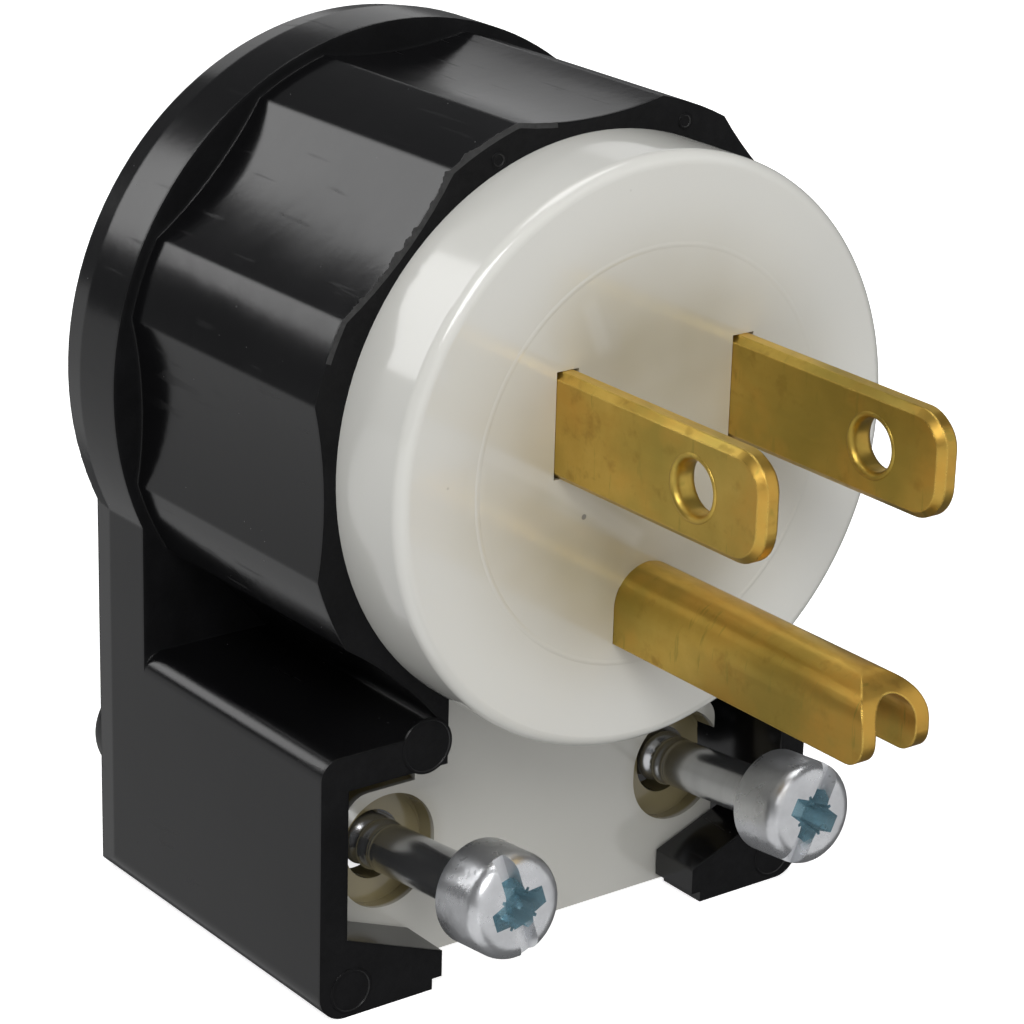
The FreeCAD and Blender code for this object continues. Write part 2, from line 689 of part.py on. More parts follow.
# bosses of the clamp screws lean with the screws; a low knob stands on the back
bosses = []
boss_holes = []
knobs = []
for side in (-1, 1):
    tag = "left" if side < 0 else "right"
    x = side * screw_x
    bosses.append(leaning("boss_stem_" + tag, s.boss_dia / 2,
                          (inner_back + s.back_wall / 2 - boss_front) / along,
                          x, boss_front, screw_z(boss_front)))
    boss_holes.append(leaning("boss_hole_" + tag, s.screw_core_dia / 2 + s.thread_gap,
                              (s.back_face - s.boss_skin - boss_front + 1) / along,
                              x, boss_front - 1, screw_z(boss_front - 1)))
    knob = doc.addObject("PartDesign::Body", "knob_body_" + tag)
    sk = sketch_on(knob, "knob_plan_" + tag, "XZ_Plane", -s.back_face + s.back_wall / 2)
    ring(sk, side * (s.box_half - s.knob_in), -roof - s.knob_below, s.knob_dia / 2)
    stub = pad(knob, "knob_" + tag, sk, s.knob_tall + s.back_wall / 2, reverse=True)
    knob.Tip = fillet(knob, "knob_round_" + tag, stub,
                      edges_of(stub, flat_at("Y", (s.back_face + s.knob_tall).value)), s.knob_edge)
    knobs.append(knob)
# two grip ribs across the back wall press into the cord
ribs = []
for i in range(2):
    z = -box_floor + s.box_wall * 2 + s.box_wall * 3 * i
    ribs.append(block("grip_rib_%d" % i, -s.saddle_half, s.saddle_half,
                      inner_back - s.rib_high, inner_back + s.back_wall / 2,
                      z, z + s.box_wall * 0.8))
# columns of the assembly screws, from the back plate to the retainer
columns = []
fix_cuts = []
for side in (-1, 1):
    tag = "left" if side < 0 else "right"
    x = side * fix_x
    columns.append(cylinder("column_" + tag, s.column_dia / 2,
                            inner_back - retainer_back + s.back_wall / 2,
                            x, retainer_back, -s.fix_drop))
    fix_cuts.append(cylinder("fix_way_" + tag, s.fix_dia / 2 + s.spigot_gap, s.back_face,
                             x, retainer_back - 1, -s.fix_drop))
    fix_cuts.append(cylinder("fix_recess_" + tag, s.fix_recess_dia / 2,
                             s.fix_sunk + s.fix_head_long + 1,
                             x, s.back_face - s.fix_sunk - s.fix_head_long, -s.fix_drop))
column_room = cylinder("column_room", s.barrel_dia / 2 - s.scoop_depth * 1.5,
                       s.back_face, 0, front, 0)
columns_in = common("columns_in", [fuse("columns", columns), column_room])
filled = fuse("filled", [opened, columns_in] + feet + bosses + knobs + ribs)
# a flat foot, and rounded lower outer corners all the way back
lower_corners = [block("foot_plane", -s.box_half * 2, s.box_half * 2, front - 1, s.back_face + 1,
                       floor - s.back_wall * 2, floor)]
for side in (-1, 1):
    tag = "left" if side < 0 else "right"
    mid = s.box_half - s.box_corner
    over = s.box_half + 1
    lump = block("low_lump_" + tag, side * mid if side > 0 else -over,
                 side * over if side > 0 else -mid, front - 1, s.back_face + 1,
                 floor - 1, floor + s.box_corner)
    roller = cylinder("low_roller_" + tag, s.box_corner, s.back_face * 2,
                      side * mid, -s.back_face / 2, floor + s.box_corner)
    lower_corners.append(cut("low_corner_" + tag, lump, roller))
housing = node(cut("housing", filled,
                   fuse("screw_ways", boss_holes + fix_cuts + lower_corners)), "housing")

# ---------------------------------------------------------------- cord clamp
clamp = doc.addObject("PartDesign::Body", "clamp_block")
sk = sketch_on(clamp, "clamp_plan", "XZ_Plane", -clamp_front)
neck_x = s.neck_half - s.neck_play
low = floor + s.clamp_lift
outline(sk, [(-neck_x, -neck_top), (-neck_x, -clamp_top), (-clamp_half, -clamp_top),
             (-clamp_half, low), (clamp_half, low), (clamp_half, -clamp_top),
             (neck_x, -clamp_top), (neck_x, -neck_top)])
ears = pad(clamp, "clamp_ears", sk, s.clamp_ear, reverse=True)
ears_soft = fillet(clamp, "clamp_rounding", ears,
                   edges_of(ears, lambda e: e.BoundBox.YMax - e.BoundBox.YMin > 1
                            and abs(abs(e.BoundBox.XMin) - clamp_half.value) < 1e-3),
                   s.clamp_corner)
sk = sketch_on(clamp, "saddle_plan", "XZ_Plane", -clamp_front)
outline(sk, [(-s.saddle_half, -clamp_top), (-s.saddle_half, low),
             (s.saddle_half, low), (s.saddle_half, -clamp_top)])
saddle = pad(clamp, "clamp_saddle", sk, s.saddle_deep, reverse=True)
clamp.Tip = saddle
groove = cylinder("cord_groove", s.saddle_bend, box_floor,
                  0, clamp_front + s.saddle_deep - s.saddle_dip + s.saddle_bend,
                  floor - 1, "+z")
ways = [groove]
for side in (-1, 1):
    tag = "left" if side < 0 else "right"
    x = side * screw_x
    # the passages stay wide enough over the whole travel of the clamp
    for step, drop in ((0, 0), (1, s.clamp_travel)):
        y = clamp_front - 1
        z = screw_z(y) - drop * lean
        ways.append(leaning("seat_%s_%d" % (tag, step), s.seat_dia / 2,
                            (s.seat_deep + 1) / along, x, y, z))
        ways.append(leaning("way_%s_%d" % (tag, step), s.shank_slot_dia / 2,
                            (s.clamp_ear + 3) / along, x, y, z))
cord_clamp = node(cut("cord_clamp", clamp, fuse("clamp_ways", ways)), "cord_clamp")


# ---------------------------------------------------------------- clamp screws
def clamp_screw(label, side):
    """Cylindrical head with a rounded edge, plain shank, threaded end."""
    body = doc.addObject("PartDesign::Body", label)
    # drawn along the body's own Y axis, underside of the head at its origin
    sk = sketch_on(body, label + "_head_plan", "XZ_Plane")
    ring(sk, 0, 0, s.head_dia / 2)
    head = pad(body, label + "_head", sk, s.head_long)
    head_soft = fillet(body, label + "_crown", head,
                       edges_of(head, flat_at("Y", -s.head_long.value)), s.head_edge)
    sk = sketch_on(body, label + "_shank_plan", "XZ_Plane")
    ring(sk, 0, 0, s.shank_dia / 2)
    shank = pad(body, label + "_shank", sk, s.shank_long, reverse=True)
    sk = sketch_on(body, label + "_thread_plan", "XZ_Plane", -s.shank_long)
    ring(sk, 0, 0, s.screw_core_dia / 2)
    thread = pad(body, label + "_thread", sk, s.screw_long - s.shank_long, reverse=True)
    point = chamfer(body, label + "_point", thread,
                    edges_of(thread, flat_at("Y", s.screw_long.value)), s.screw_core_dia * 0.18)
    # driver recess: a cross, one arm of which runs right across the head
    sk = sketch_on(body, label + "_slot_plan", "XZ_Plane", s.head_long)
    outline(sk, [(-s.head_dia, -s.recess_wide / 2), (s.head_dia, -s.recess_wide / 2),
                 (s.head_dia, s.recess_wide / 2), (-s.head_dia, s.recess_wide / 2)])
    slot = pocket(body, label + "_slot", sk, s.recess_deep * 0.8)
    sk = sketch_on(body, label + "_cross_plan", "XZ_Plane", s.head_long)
    outline(sk, [(-s.recess_wide / 2, -s.head_dia * 0.3), (s.recess_wide / 2, -s.head_dia * 0.3),
                 (s.recess_wide / 2, s.head_dia * 0.3), (-s.recess_wide / 2, s.head_dia * 0.3)])
    cross = pocket(body, label + "_cross", sk, s.recess_deep)
    body.Tip = cross
    doc.recompute()
    if not cross.Shape.Volume < slot.Shape.Volume < point.Shape.Volume:
        raise RuntimeError("the recess of %s cut nothing" % label)
    body.Placement = FreeCAD.Placement(
        FreeCAD.Vector(), FreeCAD.Rotation(FreeCAD.Vector(-1, 0, 0), s.screw_lean.value))
    body.setExpression("Placement.Rotation.Angle", "Sizes.screw_lean")
    place(body, side * screw_x, s.screw_out, screw_z(s.screw_out))
    return node(body, label)


clamp_screw("clamp_screw_left", -1)
clamp_screw("clamp_screw_right", 1)


# ---------------------------------------------------------------- terminals
def terminal(tag, x, y, z, way):
    """Wire clamp plate and screw on the outer face of a tab."""
    sign = -1 if way[0] == "-" else 1
    half = s.washer_side / 2
    axis = way[1]
    gap = s.blade_thick / 2
    if axis == "x":
        lo = x + sign * gap
        hi = x + sign * (gap + s.washer_thick)
        a, b = (lo, hi) if sign > 0 else (hi, lo)
        plate = block("plate_%s" % tag, a, b, y - half, y + half, z - half, z + half)
        start = (x - sign * (gap + s.term_tail), y, z)
        seat = (hi, y, z)
    else:
        lo = z + sign * gap
        hi = z + sign * (gap + s.washer_thick)
        a, b = (lo, hi) if sign > 0 else (hi, lo)
        plate = block("plate_%s" % tag, x - half, x + half, y - half, y + half, a, b)
        start = (x, y, z - sign * (gap + s.term_tail))
        seat = (x, y, hi)
    bore_tool = cylinder("plate_bore_%s" % tag, s.term_dia / 2 + s.slot_gap,
                         s.term_tail * 2 + s.washer_thick * 4, start[0], start[1], start[2], way)
    node(cut("wire_plate_%s" % tag, plate, bore_tool), "wire_plate_%s" % tag)
    shaft = cylinder("term_shaft_%s" % tag, s.term_dia / 2,
                     s.term_tail + s.blade_thick + s.washer_thick,
                     start[0], start[1], start[2], way)
    head = cylinder("term_head_%s" % tag, s.term_head_dia / 2, s.term_head_long,
                    seat[0], seat[1], seat[2], way)
    step = s.term_head_long * 0.5
    if axis == "x":
        c = seat[0] + sign * step
        d = c + sign * s.term_head_long
        a, b = (c, d) if sign > 0 else (d, c)
        slot = block("term_slot_%s" % tag, a, b, y - s.term_head_dia, y + s.term_head_dia,
                     z - s.recess_wide * 0.4, z + s.recess_wide * 0.4)
    else:
        c = seat[2] + sign * step
        d = c + sign * s.term_head_long
        a, b = (c, d) if sign > 0 else (d, c)
        slot = block("term_slot_%s" % tag, x - s.term_head_dia, x + s.term_head_dia,
                     y - s.recess_wide * 0.4, y + s.recess_wide * 0.4, a, b)
    whole = fuse("term_whole_%s" % tag, [shaft, head])
    node(cut("terminal_screw_%s" % tag, whole, slot), "terminal_screw_%s" % tag)


terminal("left", -s.blade_pitch / 2, s.terminal_y, blade_z, "-x")
terminal("right", s.blade_pitch / 2, s.terminal_y, blade_z, "+x")
terminal("ground", lift(0), s.terminal_y, pin_z, "-z")


# ---------------------------------------------------------------- fixing screws
def fixing(label, x, y_seat, z, dia, head_dia, head_long, tip):
    """A screw that points forwards, its head towards the back."""
    shaft = cylinder(label + "_shaft", dia / 2, y_seat - tip, x, tip, z)
    head = cylinder(label + "_head", head_dia / 2, head_long, x, y_seat, z)
    slot = block(label + "_slot", x - head_dia, x + head_dia,
                 y_seat + head_long * 0.5, y_seat + head_long * 2,
                 z - s.recess_wide * 0.4, z + s.recess_wide * 0.4)
    whole = fuse(label + "_whole", [shaft, head])
    node(cut(label, whole, slot), label)


for side in (-1, 1):
    tag = "left" if side < 0 else "right"
    fixing("assembly_screw_" + tag, side * fix_x, s.back_face - s.fix_sunk - s.fix_head_long,
           -s.fix_drop, s.fix_dia, s.fix_head_dia, s.fix_head_long, s.fix_bite)
    fixing("retainer_screw_" + tag, side * hold_x, retainer_back, s.hold_rise,
           s.hold_dia, s.hold_head_dia, s.hold_head_long, s.hold_bite)

# ---------------------------------------------------------------- check and write
doc.recompute()
for obj in doc.Objects:
    if "Invalid" in obj.State or "Error" in obj.State:
        raise RuntimeError("%s: %s" % (obj.Label, obj.State))
for obj in nodes:
    shape = obj.Shape
    if shape.isNull() or not shape.isValid() or len(shape.Solids) != 1:
        raise RuntimeError("%s is not one valid solid (%d)" % (obj.Label, len(shape.Solids)))
os.makedirs("parts", exist_ok=True)
for obj in nodes:
    obj.Shape.exportStep("parts/%s.step" % obj.Label)
    box = obj.Shape.BoundBox
    print("%-24s vol %9.2f  x %7.2f %7.2f  y %7.2f %7.2f  z %7.2f %7.2f" % (
        obj.Label, obj.Shape.Volume, box.XMin, box.XMax, box.YMin, box.YMax, box.ZMin, box.ZMax))
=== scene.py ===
"""An angled grounded plug, type B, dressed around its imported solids.

The frame gives the solids. Each operator finishes some of them, or adds what
they leave out: threads, rolled rims and the marks of the mould.
"""

import math

import bmesh
import bpy
from bpy.props import FloatProperty, FloatVectorProperty, IntProperty, PointerProperty
from mathutils import Matrix, Vector, noise


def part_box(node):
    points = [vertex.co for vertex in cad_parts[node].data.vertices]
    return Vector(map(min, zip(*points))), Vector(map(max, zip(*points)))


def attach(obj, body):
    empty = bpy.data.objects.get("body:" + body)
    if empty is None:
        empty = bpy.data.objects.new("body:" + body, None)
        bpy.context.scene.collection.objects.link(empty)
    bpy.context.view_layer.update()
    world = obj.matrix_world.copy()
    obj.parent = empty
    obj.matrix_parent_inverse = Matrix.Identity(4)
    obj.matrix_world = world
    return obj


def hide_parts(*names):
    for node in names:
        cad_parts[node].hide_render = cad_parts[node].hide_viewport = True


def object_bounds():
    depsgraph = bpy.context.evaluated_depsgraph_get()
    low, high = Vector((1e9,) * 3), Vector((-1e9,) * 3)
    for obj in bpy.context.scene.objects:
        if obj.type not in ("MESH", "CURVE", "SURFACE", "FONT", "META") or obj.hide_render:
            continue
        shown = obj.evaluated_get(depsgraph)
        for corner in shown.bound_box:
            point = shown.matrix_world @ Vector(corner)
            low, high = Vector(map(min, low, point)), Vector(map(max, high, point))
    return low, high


bl_info = {
    "name": "Angled Grounded Plug",
    "version": (1, 0, 0),
    "blender": (4, 5, 0),
    "location": "View3D > Sidebar > Plug",
    "description": "Dresses an angled type B plug: moulded housing, white face, brass contacts and zinc screws",
    "category": "Object",
}

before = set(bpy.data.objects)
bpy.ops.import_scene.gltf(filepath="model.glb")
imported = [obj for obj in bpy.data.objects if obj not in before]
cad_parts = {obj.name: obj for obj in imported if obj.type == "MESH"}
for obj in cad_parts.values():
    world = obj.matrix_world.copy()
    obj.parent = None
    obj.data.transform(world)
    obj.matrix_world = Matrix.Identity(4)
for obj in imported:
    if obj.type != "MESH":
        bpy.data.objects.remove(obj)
CAD_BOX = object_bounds()
MM = 0.001
SIDES = (("left", -1), ("right", 1))
LENGTH = {"unit": "LENGTH", "precision": 5}
COLOUR = {"subtype": "COLOR", "size": 3, "min": 0, "max": 1}
AXIS_POINT = 0.02 * MM      # radius where a turned piece closes on its axis

# Ribs behind the face, each from one (X, Z) to another, in millimetres.
RIBS_BEHIND_FACE = (((-11.9, 2.5), (-7.2, -0.25)), ((-7.2, -0.25), (-0.7, -4.9)),
                    ((-5.1, 10.1), (-3.85, 6.9)), ((-12.5, 1.6), (-12.6, -1.3)))

# Marks of the ejector pins: X, Z and radius, in millimetres.
EJECTOR_MARKS = ((-11.1, -17.5, 1.75), (11.1, -17.5, 1.75), (-16.3, -31.9, 1.45),
                 (16.3, -31.9, 1.45), (-7.0, 16.95, 0.5), (6.35, 17.45, 0.5))

# How far each clamp screw happens to be turned about its own axis.
SCREW_TURNS = {"left": math.radians(75), "right": math.radians(-59)}


# ------------------------------------------------------------------ sizes

class HousingSizes(bpy.types.PropertyGroup):
    """Sizes of what the mould left on the housing."""

    mark_sunk: FloatProperty(
        name="Mark depth", description="How far an ejector mark reaches into the housing",
        default=0.10 * MM, **LENGTH)
    mark_proud: FloatProperty(
        name="Mark height", description="How far the lip of an ejector mark stands out",
        default=0.08 * MM, **LENGTH)
    flash_start: FloatProperty(
        name="Film start", description="Where the torn film begins, up from the right",
        default=math.radians(99), subtype="ANGLE")
    flash_sweep: FloatProperty(
        name="Film sweep", description="How far the torn film runs along the edge",
        default=math.radians(60), subtype="ANGLE")
    flash_reach: FloatProperty(
        name="Film reach", description="How far the torn film stands out, for a full tear",
        default=0.42 * MM, **LENGTH)


class ScrewSizes(bpy.types.PropertyGroup):
    """Sizes of the two clamp screws."""

    head_radius: FloatProperty(
        name="Head radius", description="Radius of the cylindrical head",
        default=3.2 * MM, **LENGTH)
    head_length: FloatProperty(
        name="Head length", description="Length of the head",
        default=4.0 * MM, **LENGTH)
    head_round: FloatProperty(
        name="Head rounding", description="Rounded outer edge of the head",
        default=0.95 * MM, **LENGTH)
    head_chamfer: FloatProperty(
        name="Head chamfer", description="Chamfer under the head",
        default=0.25 * MM, **LENGTH)
    neck: FloatProperty(
        name="Neck fillet", description="Fillet between head and shank",
        default=0.15 * MM, **LENGTH)
    shank_radius: FloatProperty(
        name="Shank radius", description="Radius of the plain shank",
        default=1.55 * MM, **LENGTH)
    thread_start: FloatProperty(
        name="Thread start", description="Where the thread begins, under the head",
        default=8.4 * MM, **LENGTH)
    length: FloatProperty(
        name="Length", description="Length under the head",
        default=18.0 * MM, **LENGTH)
    root_radius: FloatProperty(
        name="Thread root", description="Radius at the root of the thread",
        default=1.18 * MM, **LENGTH)
    crest_radius: FloatProperty(
        name="Thread crest", description="Radius at the crest of the thread",
        default=1.68 * MM, **LENGTH)
    pitch: FloatProperty(
        name="Pitch", description="Advance of the thread in one turn",
        default=1.30 * MM, **LENGTH)
    offset: FloatProperty(
        name="Offset", description="Screw axis from the middle of the plug",
        default=11.15 * MM, **LENGTH)
    seat: FloatProperty(
        name="Head seat", description="Underside of the head behind the face",
        default=0.7 * MM, **LENGTH)
    drop: FloatProperty(
        name="Drop", description="Screw axis below the middle of the face, at its plane",
        default=24.5 * MM, **LENGTH)
    slot_width: FloatProperty(
        name="Slot width", description="Width of the slot across the head, at its mouth",
        default=1.15 * MM, **LENGTH)
    slot_depth: FloatProperty(
        name="Slot depth", description="Depth of the slot across the head",
        default=0.85 * MM, **LENGTH)
    lean: FloatProperty(
        name="Lean", description="How far the head leans up",
        default=math.radians(6), subtype="ANGLE")


class FaceSizes(bpy.types.PropertyGroup):
    """Sizes of the contact face."""

    ring_radius: FloatProperty(
        name="Ring radius", description="Raised ring round the contacts",
        default=12.4 * MM, **LENGTH)
    ring_width: FloatProperty(
        name="Ring width", description="Width of the raised ring",
        default=0.6 * MM, **LENGTH)
    ring_height: FloatProperty(
        name="Ring height", description="How far the ring stands proud",
        default=0.02 * MM, **LENGTH)
    soft_rim: FloatProperty(
        name="Solid rim", description="Rounding of the rim on the solid",
        default=1.7 * MM, **LENGTH)
    tight_rim: FloatProperty(
        name="Rim", description="Rounding of the rim of the dressed face",
        default=0.75 * MM, **LENGTH)
    speck: FloatVectorProperty(
        name="Dark speck", description="Place of the small dark speck on the face",
        subtype="TRANSLATION", size=3, default=(-4.86 * MM, 0, -2.69 * MM))


class ContactSizes(bpy.types.PropertyGroup):
    """Sizes of the holes in the blades."""

    blade_thickness: FloatProperty(
        name="Blade thickness", description="Thickness of a blade",
        default=1.5 * MM, **LENGTH)
    hole_radius: FloatProperty(
        name="Hole radius", description="Radius of the hole inside its rolled rim",
        default=1.52 * MM, **LENGTH)
    hole_reach: FloatProperty(
        name="Hole reach", description="Middle of the hole in front of the face",
        default=11.9 * MM, **LENGTH)


class Finishes(bpy.types.PropertyGroup):
    """Colours of the plug."""

    black: FloatVectorProperty(
        name="Black nylon", description="Colour of the housing",
        default=(0.0030, 0.0030, 0.0034), **COLOUR)
    white: FloatVectorProperty(
        name="White nylon", description="Colour of the face",
        default=(0.74, 0.735, 0.69), **COLOUR)
    # The warmer, darker colour of thick nylon, which also carries painted shade: under the blades on the face,
    # and round and in the clamp's screw recesses.
    shaded_cream: FloatVectorProperty(
        name="Warm shade", description="Warmer colour where the moulding is thick",
        default=(0.43, 0.385, 0.275), **COLOUR)
    brass: FloatVectorProperty(
        name="Brass", description="Colour of the contacts",
        default=(0.66, 0.45, 0.100), **COLOUR)
    zinc: FloatVectorProperty(
        name="Zinc", description="Colour of the clamp screws",
        default=(0.72, 0.73, 0.75), **COLOUR)
    recess: FloatVectorProperty(
        name="Recess tint", description="Bluish tint in the driver recess",
        default=(0.50, 0.66, 0.72), **COLOUR)
    ground: FloatVectorProperty(
        name="Ground screw", description="Green of the ground terminal's screw",
        default=(0.16, 0.42, 0.22), **COLOUR)


class StageSizes(bpy.types.PropertyGroup):
    """Camera, floor and lights."""

    azimuth: FloatProperty(
        name="Azimuth", description="Camera to the left of straight ahead",
        default=math.radians(37.4499), subtype="ANGLE")
    elevation: FloatProperty(
        name="Elevation", description="Camera above the horizon",
        default=math.radians(20.3411), subtype="ANGLE")
    roll: FloatProperty(
        name="Roll", description="Camera roll",
        default=math.radians(1.6062), subtype="ANGLE")
    distance: FloatProperty(
        name="Distance", description="Camera from the contacts",
        default=199.5188 * MM, unit="LENGTH")
    across: FloatProperty(
        name="Across", description="Camera shift to its right",
        default=-8.0942 * MM, unit="LENGTH")
    up: FloatProperty(
        name="Up", description="Camera shift upwards",
        default=-6.065 * MM, unit="LENGTH")
    rise: FloatProperty(
        name="Aim height", description="Height of the contacts above the middle of the face",
        default=3.1 * MM, unit="LENGTH")
    focal: FloatProperty(
        name="Focal length", description="Focal length in pixels of the photograph",
        default=3526.0781)
    photo_width: IntProperty(
        name="Photograph width", description="Width of the photograph in pixels",
        default=1024, subtype="PIXEL")
    sensor: FloatProperty(
        name="Sensor width", description="Width of the camera's sensor in millimetres",
        default=36)
    floor_glow: FloatProperty(
        name="Floor glow", description="How much the floor shines by itself",
        default=0.80, min=0)
    room: FloatProperty(
        name="Room", description="Strength of the even light from all sides",
        default=0.11, min=0)
    key: FloatProperty(
        name="Key light", description="Power of the light from the front left",
        default=1.9, unit="POWER")
    front: FloatProperty(
        name="Front light", description="Power of the wide light in front",
        default=2.85, unit="POWER")
    low_left: FloatProperty(
        name="Low left light", description="Power of the light that the table gives back",
        default=4.2, unit="POWER")
    low_back: FloatProperty(
        name="Low back light", description="The same, behind on the left",
        default=1.0, unit="POWER")
    top: FloatProperty(
        name="Top light", description="Power of the light from above",
        default=1.1, unit="POWER")
    window: FloatProperty(
        name="Window light", description="Power of the window behind on the left",
        default=1.5, unit="POWER")
    back: FloatProperty(
        name="Back light", description="Power of the light behind on the right",
        default=0.35, unit="POWER")


# ------------------------------------------------------------------ shader maths

class Field:
    """A socket of a material that takes part in arithmetic."""

    def __init__(self, tree, socket):
        self.tree = tree
        self.socket = socket

    def _math(self, operation, *values):
        return node(self.tree, "ShaderNodeMath", {"operation": operation}, list(values))

    def __add__(self, other):
        return self._math("ADD", self, other)

    def __radd__(self, other):
        return self._math("ADD", other, self)

    def __sub__(self, other):
        return self._math("SUBTRACT", self, other)

    def __rsub__(self, other):
        return self._math("SUBTRACT", other, self)

    def __mul__(self, other):
        return self._math("MULTIPLY", self, other)

    def __rmul__(self, other):
        return self._math("MULTIPLY", other, self)

    def __gt__(self, other):
        return self._math("GREATER_THAN", self, other)


def node(tree, kind, settings=None, inputs=None, out=0):
    """Add a node: its settings first, then the values or links of its sockets."""
    new = tree.nodes.new(kind)
    for key, value in (settings or {}).items():
        if key == "stops":
            ramp = new.color_ramp
            while len(ramp.elements) > len(value):
                ramp.elements.remove(ramp.elements[-1])
            while len(ramp.elements) < len(value):
                ramp.elements.new(0.5)
            for stop, (at, level) in zip(ramp.elements, value):
                stop.position = at
                stop.color = (level, level, level, 1)
        else:
            setattr(new, key, value)
    pairs = enumerate(inputs) if isinstance(inputs, (list, tuple)) else (inputs or {}).items()
    for key, value in pairs:
        socket = new.inputs[key]
        if isinstance(value, Field):
            tree.links.new(value.socket, socket)
        elif value is not None:
            if hasattr(value, "__len__") and len(value) == 3 and len(socket.default_value) == 4:
                value = tuple(value) + (1,)
            socket.default_value = value
    return Field(tree, new.outputs[out])


def shade(colour, *factors):
    """A colour times one number, or times one for each channel; no channel passes 1."""
    factors = factors * 3 if len(factors) == 1 else factors
    return tuple(min(1.0, c * f) for c, f in zip(colour, factors))


class Finish:
    """A material under construction: a Principled shader and its fields."""

    def __init__(self, name, **values):
        self.material = bpy.data.materials.new(name)
        self.material.use_nodes = True
        self.tree = self.material.node_tree
        self.tree.nodes.clear()
        self.shader = self.tree.nodes.new("ShaderNodeBsdfPrincipled")
        self.end = self.tree.nodes.new("ShaderNodeOutputMaterial")
        self.tree.links.new(self.shader.outputs[0], self.end.inputs[0])
        for key, value in values.items():
            self.set(key.replace("_", " "), value)

    def set(self, key, value, shader=None):
        socket = (shader or self.shader).inputs[key]
        if isinstance(value, Field):
            self.tree.links.new(value.socket, socket)
        elif hasattr(value, "__len__") and len(value) == 3 and len(socket.default_value) == 4:
            socket.default_value = tuple(value) + (1,)
        else:
            socket.default_value = value

    def node(self, kind, settings=None, inputs=None, out=0):
        return node(self.tree, kind, settings, inputs, out)

    def vector(self, operation, a, b=None, out=0):
        return self.node("ShaderNodeVectorMath", {"operation": operation}, {0: a, 1: b}, out)

    def here(self):
        """The place on the surface, in the object's own metres."""
        return self.node("ShaderNodeTexCoord", out=3)

    def facing(self):
        """The way that the surface faces, in the object's own axes."""
        return self.node("ShaderNodeTexCoord", out=1)

    def place(self, scale=(1, 1, 1), turn=(0, 0, 0)):
        """The place on the surface, stretched and turned."""
        return self.node("ShaderNodeMapping", {}, {
            "Vector": self.here(), "Scale": scale, "Rotation": turn})

    def noise(self, scale, detail=3.0, rough=0.5, where=None):
        return self.node("ShaderNodeTexNoise", {}, {
            "Vector": where or self.place(), "Scale": scale, "Detail": detail,
            "Roughness": rough})

    def drawn(self, scale, detail, rough, turn=(0, 0, 0)):
        """Noise with a scale of its own along each axis: lines and scratches."""
        return self.noise(1.0, detail, rough, self.place(scale, turn))

    def ramp(self, value, stops):
        return self.node("ShaderNodeValToRGB", {"stops": stops}, [value])

    def mix(self, factor, a, b):
        """Colour a where factor is 0, b where it is 1."""
        new = self.tree.nodes.new("ShaderNodeMix")
        new.data_type = "RGBA"
        for index, value in ((0, factor), (6, a), (7, b)):
            if isinstance(value, Field):
                self.tree.links.new(value.socket, new.inputs[index])
            else:
                new.inputs[index].default_value = tuple(value) + (1,)
        return Field(self.tree, new.outputs[2])

    def bump(self, height, strength, distance, normal=None):
        return self.node("ShaderNodeBump", {}, {
            "Height": height, "Strength": strength, "Distance": distance, "Normal": normal})

    def soft_edges(self, radius):
        return self.node("ShaderNodeBevel", {"samples": 3}, {"Radius": radius})

    def edge_wear(self, edges):
        """1 on edges, 0 on flat ground: how far the rounded normal leaves the true one."""
        flat = self.node("ShaderNodeNewGeometry", out=1)
        return 1 - self.step(self.vector("DOT_PRODUCT", edges, flat, 1), 0.90, 0.995)

    def step(self, value, low, high):
        """Rise softly from 0 at low to 1 at high."""
        return self.node("ShaderNodeMapRange", {"interpolation_type": "SMOOTHSTEP"}, {
            "Value": value, "From Min": low, "From Max": high})

    def most(self, a, b):
        return self.node("ShaderNodeMath", {"operation": "MAXIMUM"}, [a, b])

    def least(self, a, b):
        return self.node("ShaderNodeMath", {"operation": "MINIMUM"}, [a, b])

    def size_of(self, value):
        return self.node("ShaderNodeMath", {"operation": "ABSOLUTE"}, [value])

    def part(self, vector, index):
        """One of the three numbers of a vector or colour."""
        return self.node("ShaderNodeSeparateXYZ", {}, [vector], index)

    def distance(self, point):
        """How far the surface is from a point."""
        return self.vector("DISTANCE", self.here(), point, 1)

    def from_axis(self, centre, along):
        """How far the surface is from a line through centre."""
        rel = self.vector("SUBTRACT", self.here(), centre)
        return self.vector("LENGTH", self.vector("CROSS_PRODUCT", rel, along), None, 1)

    def band(self, start, end, half):
        """1 along a line on the face from start to end, given as X and Z."""
        a, b = Vector((start[0], 0, start[1])), Vector((end[0], 0, end[1]))
        line = b - a
        across = Vector((-line.z, 0, line.x)).normalized()
        rel = self.vector("SUBTRACT", self.here(), tuple(a))
        off = self.size_of(self.vector("DOT_PRODUCT", rel, tuple(across), 1))
        run = self.vector("DOT_PRODUCT", rel, tuple(line.normalized()), 1)
        beside = 1 - self.step(off, half * 0.4, half * 1.6)
        begun = self.step(run, -half, half)
        not_past = 1 - self.step(run, line.length - half, line.length + half)
        return beside * begun * not_past

    def specks(self, scale, size, rare):
        """Small scattered dots: a cell's point shows only where its random value is high."""
        cells = self.node("ShaderNodeTexVoronoi", {}, {"Vector": self.place(), "Scale": scale})
        chance = self.part(Field(self.tree, cells.socket.node.outputs["Color"]), 0)
        return (1 - self.step(cells, size * 0.6, size * 1.6)) * (chance > rare)

    def second(self, **values):
        """Another Principled shader in the same material."""
        shader = self.tree.nodes.new("ShaderNodeBsdfPrincipled")
        for key, value in values.items():
            self.set(key.replace("_", " "), value, shader)
        return shader

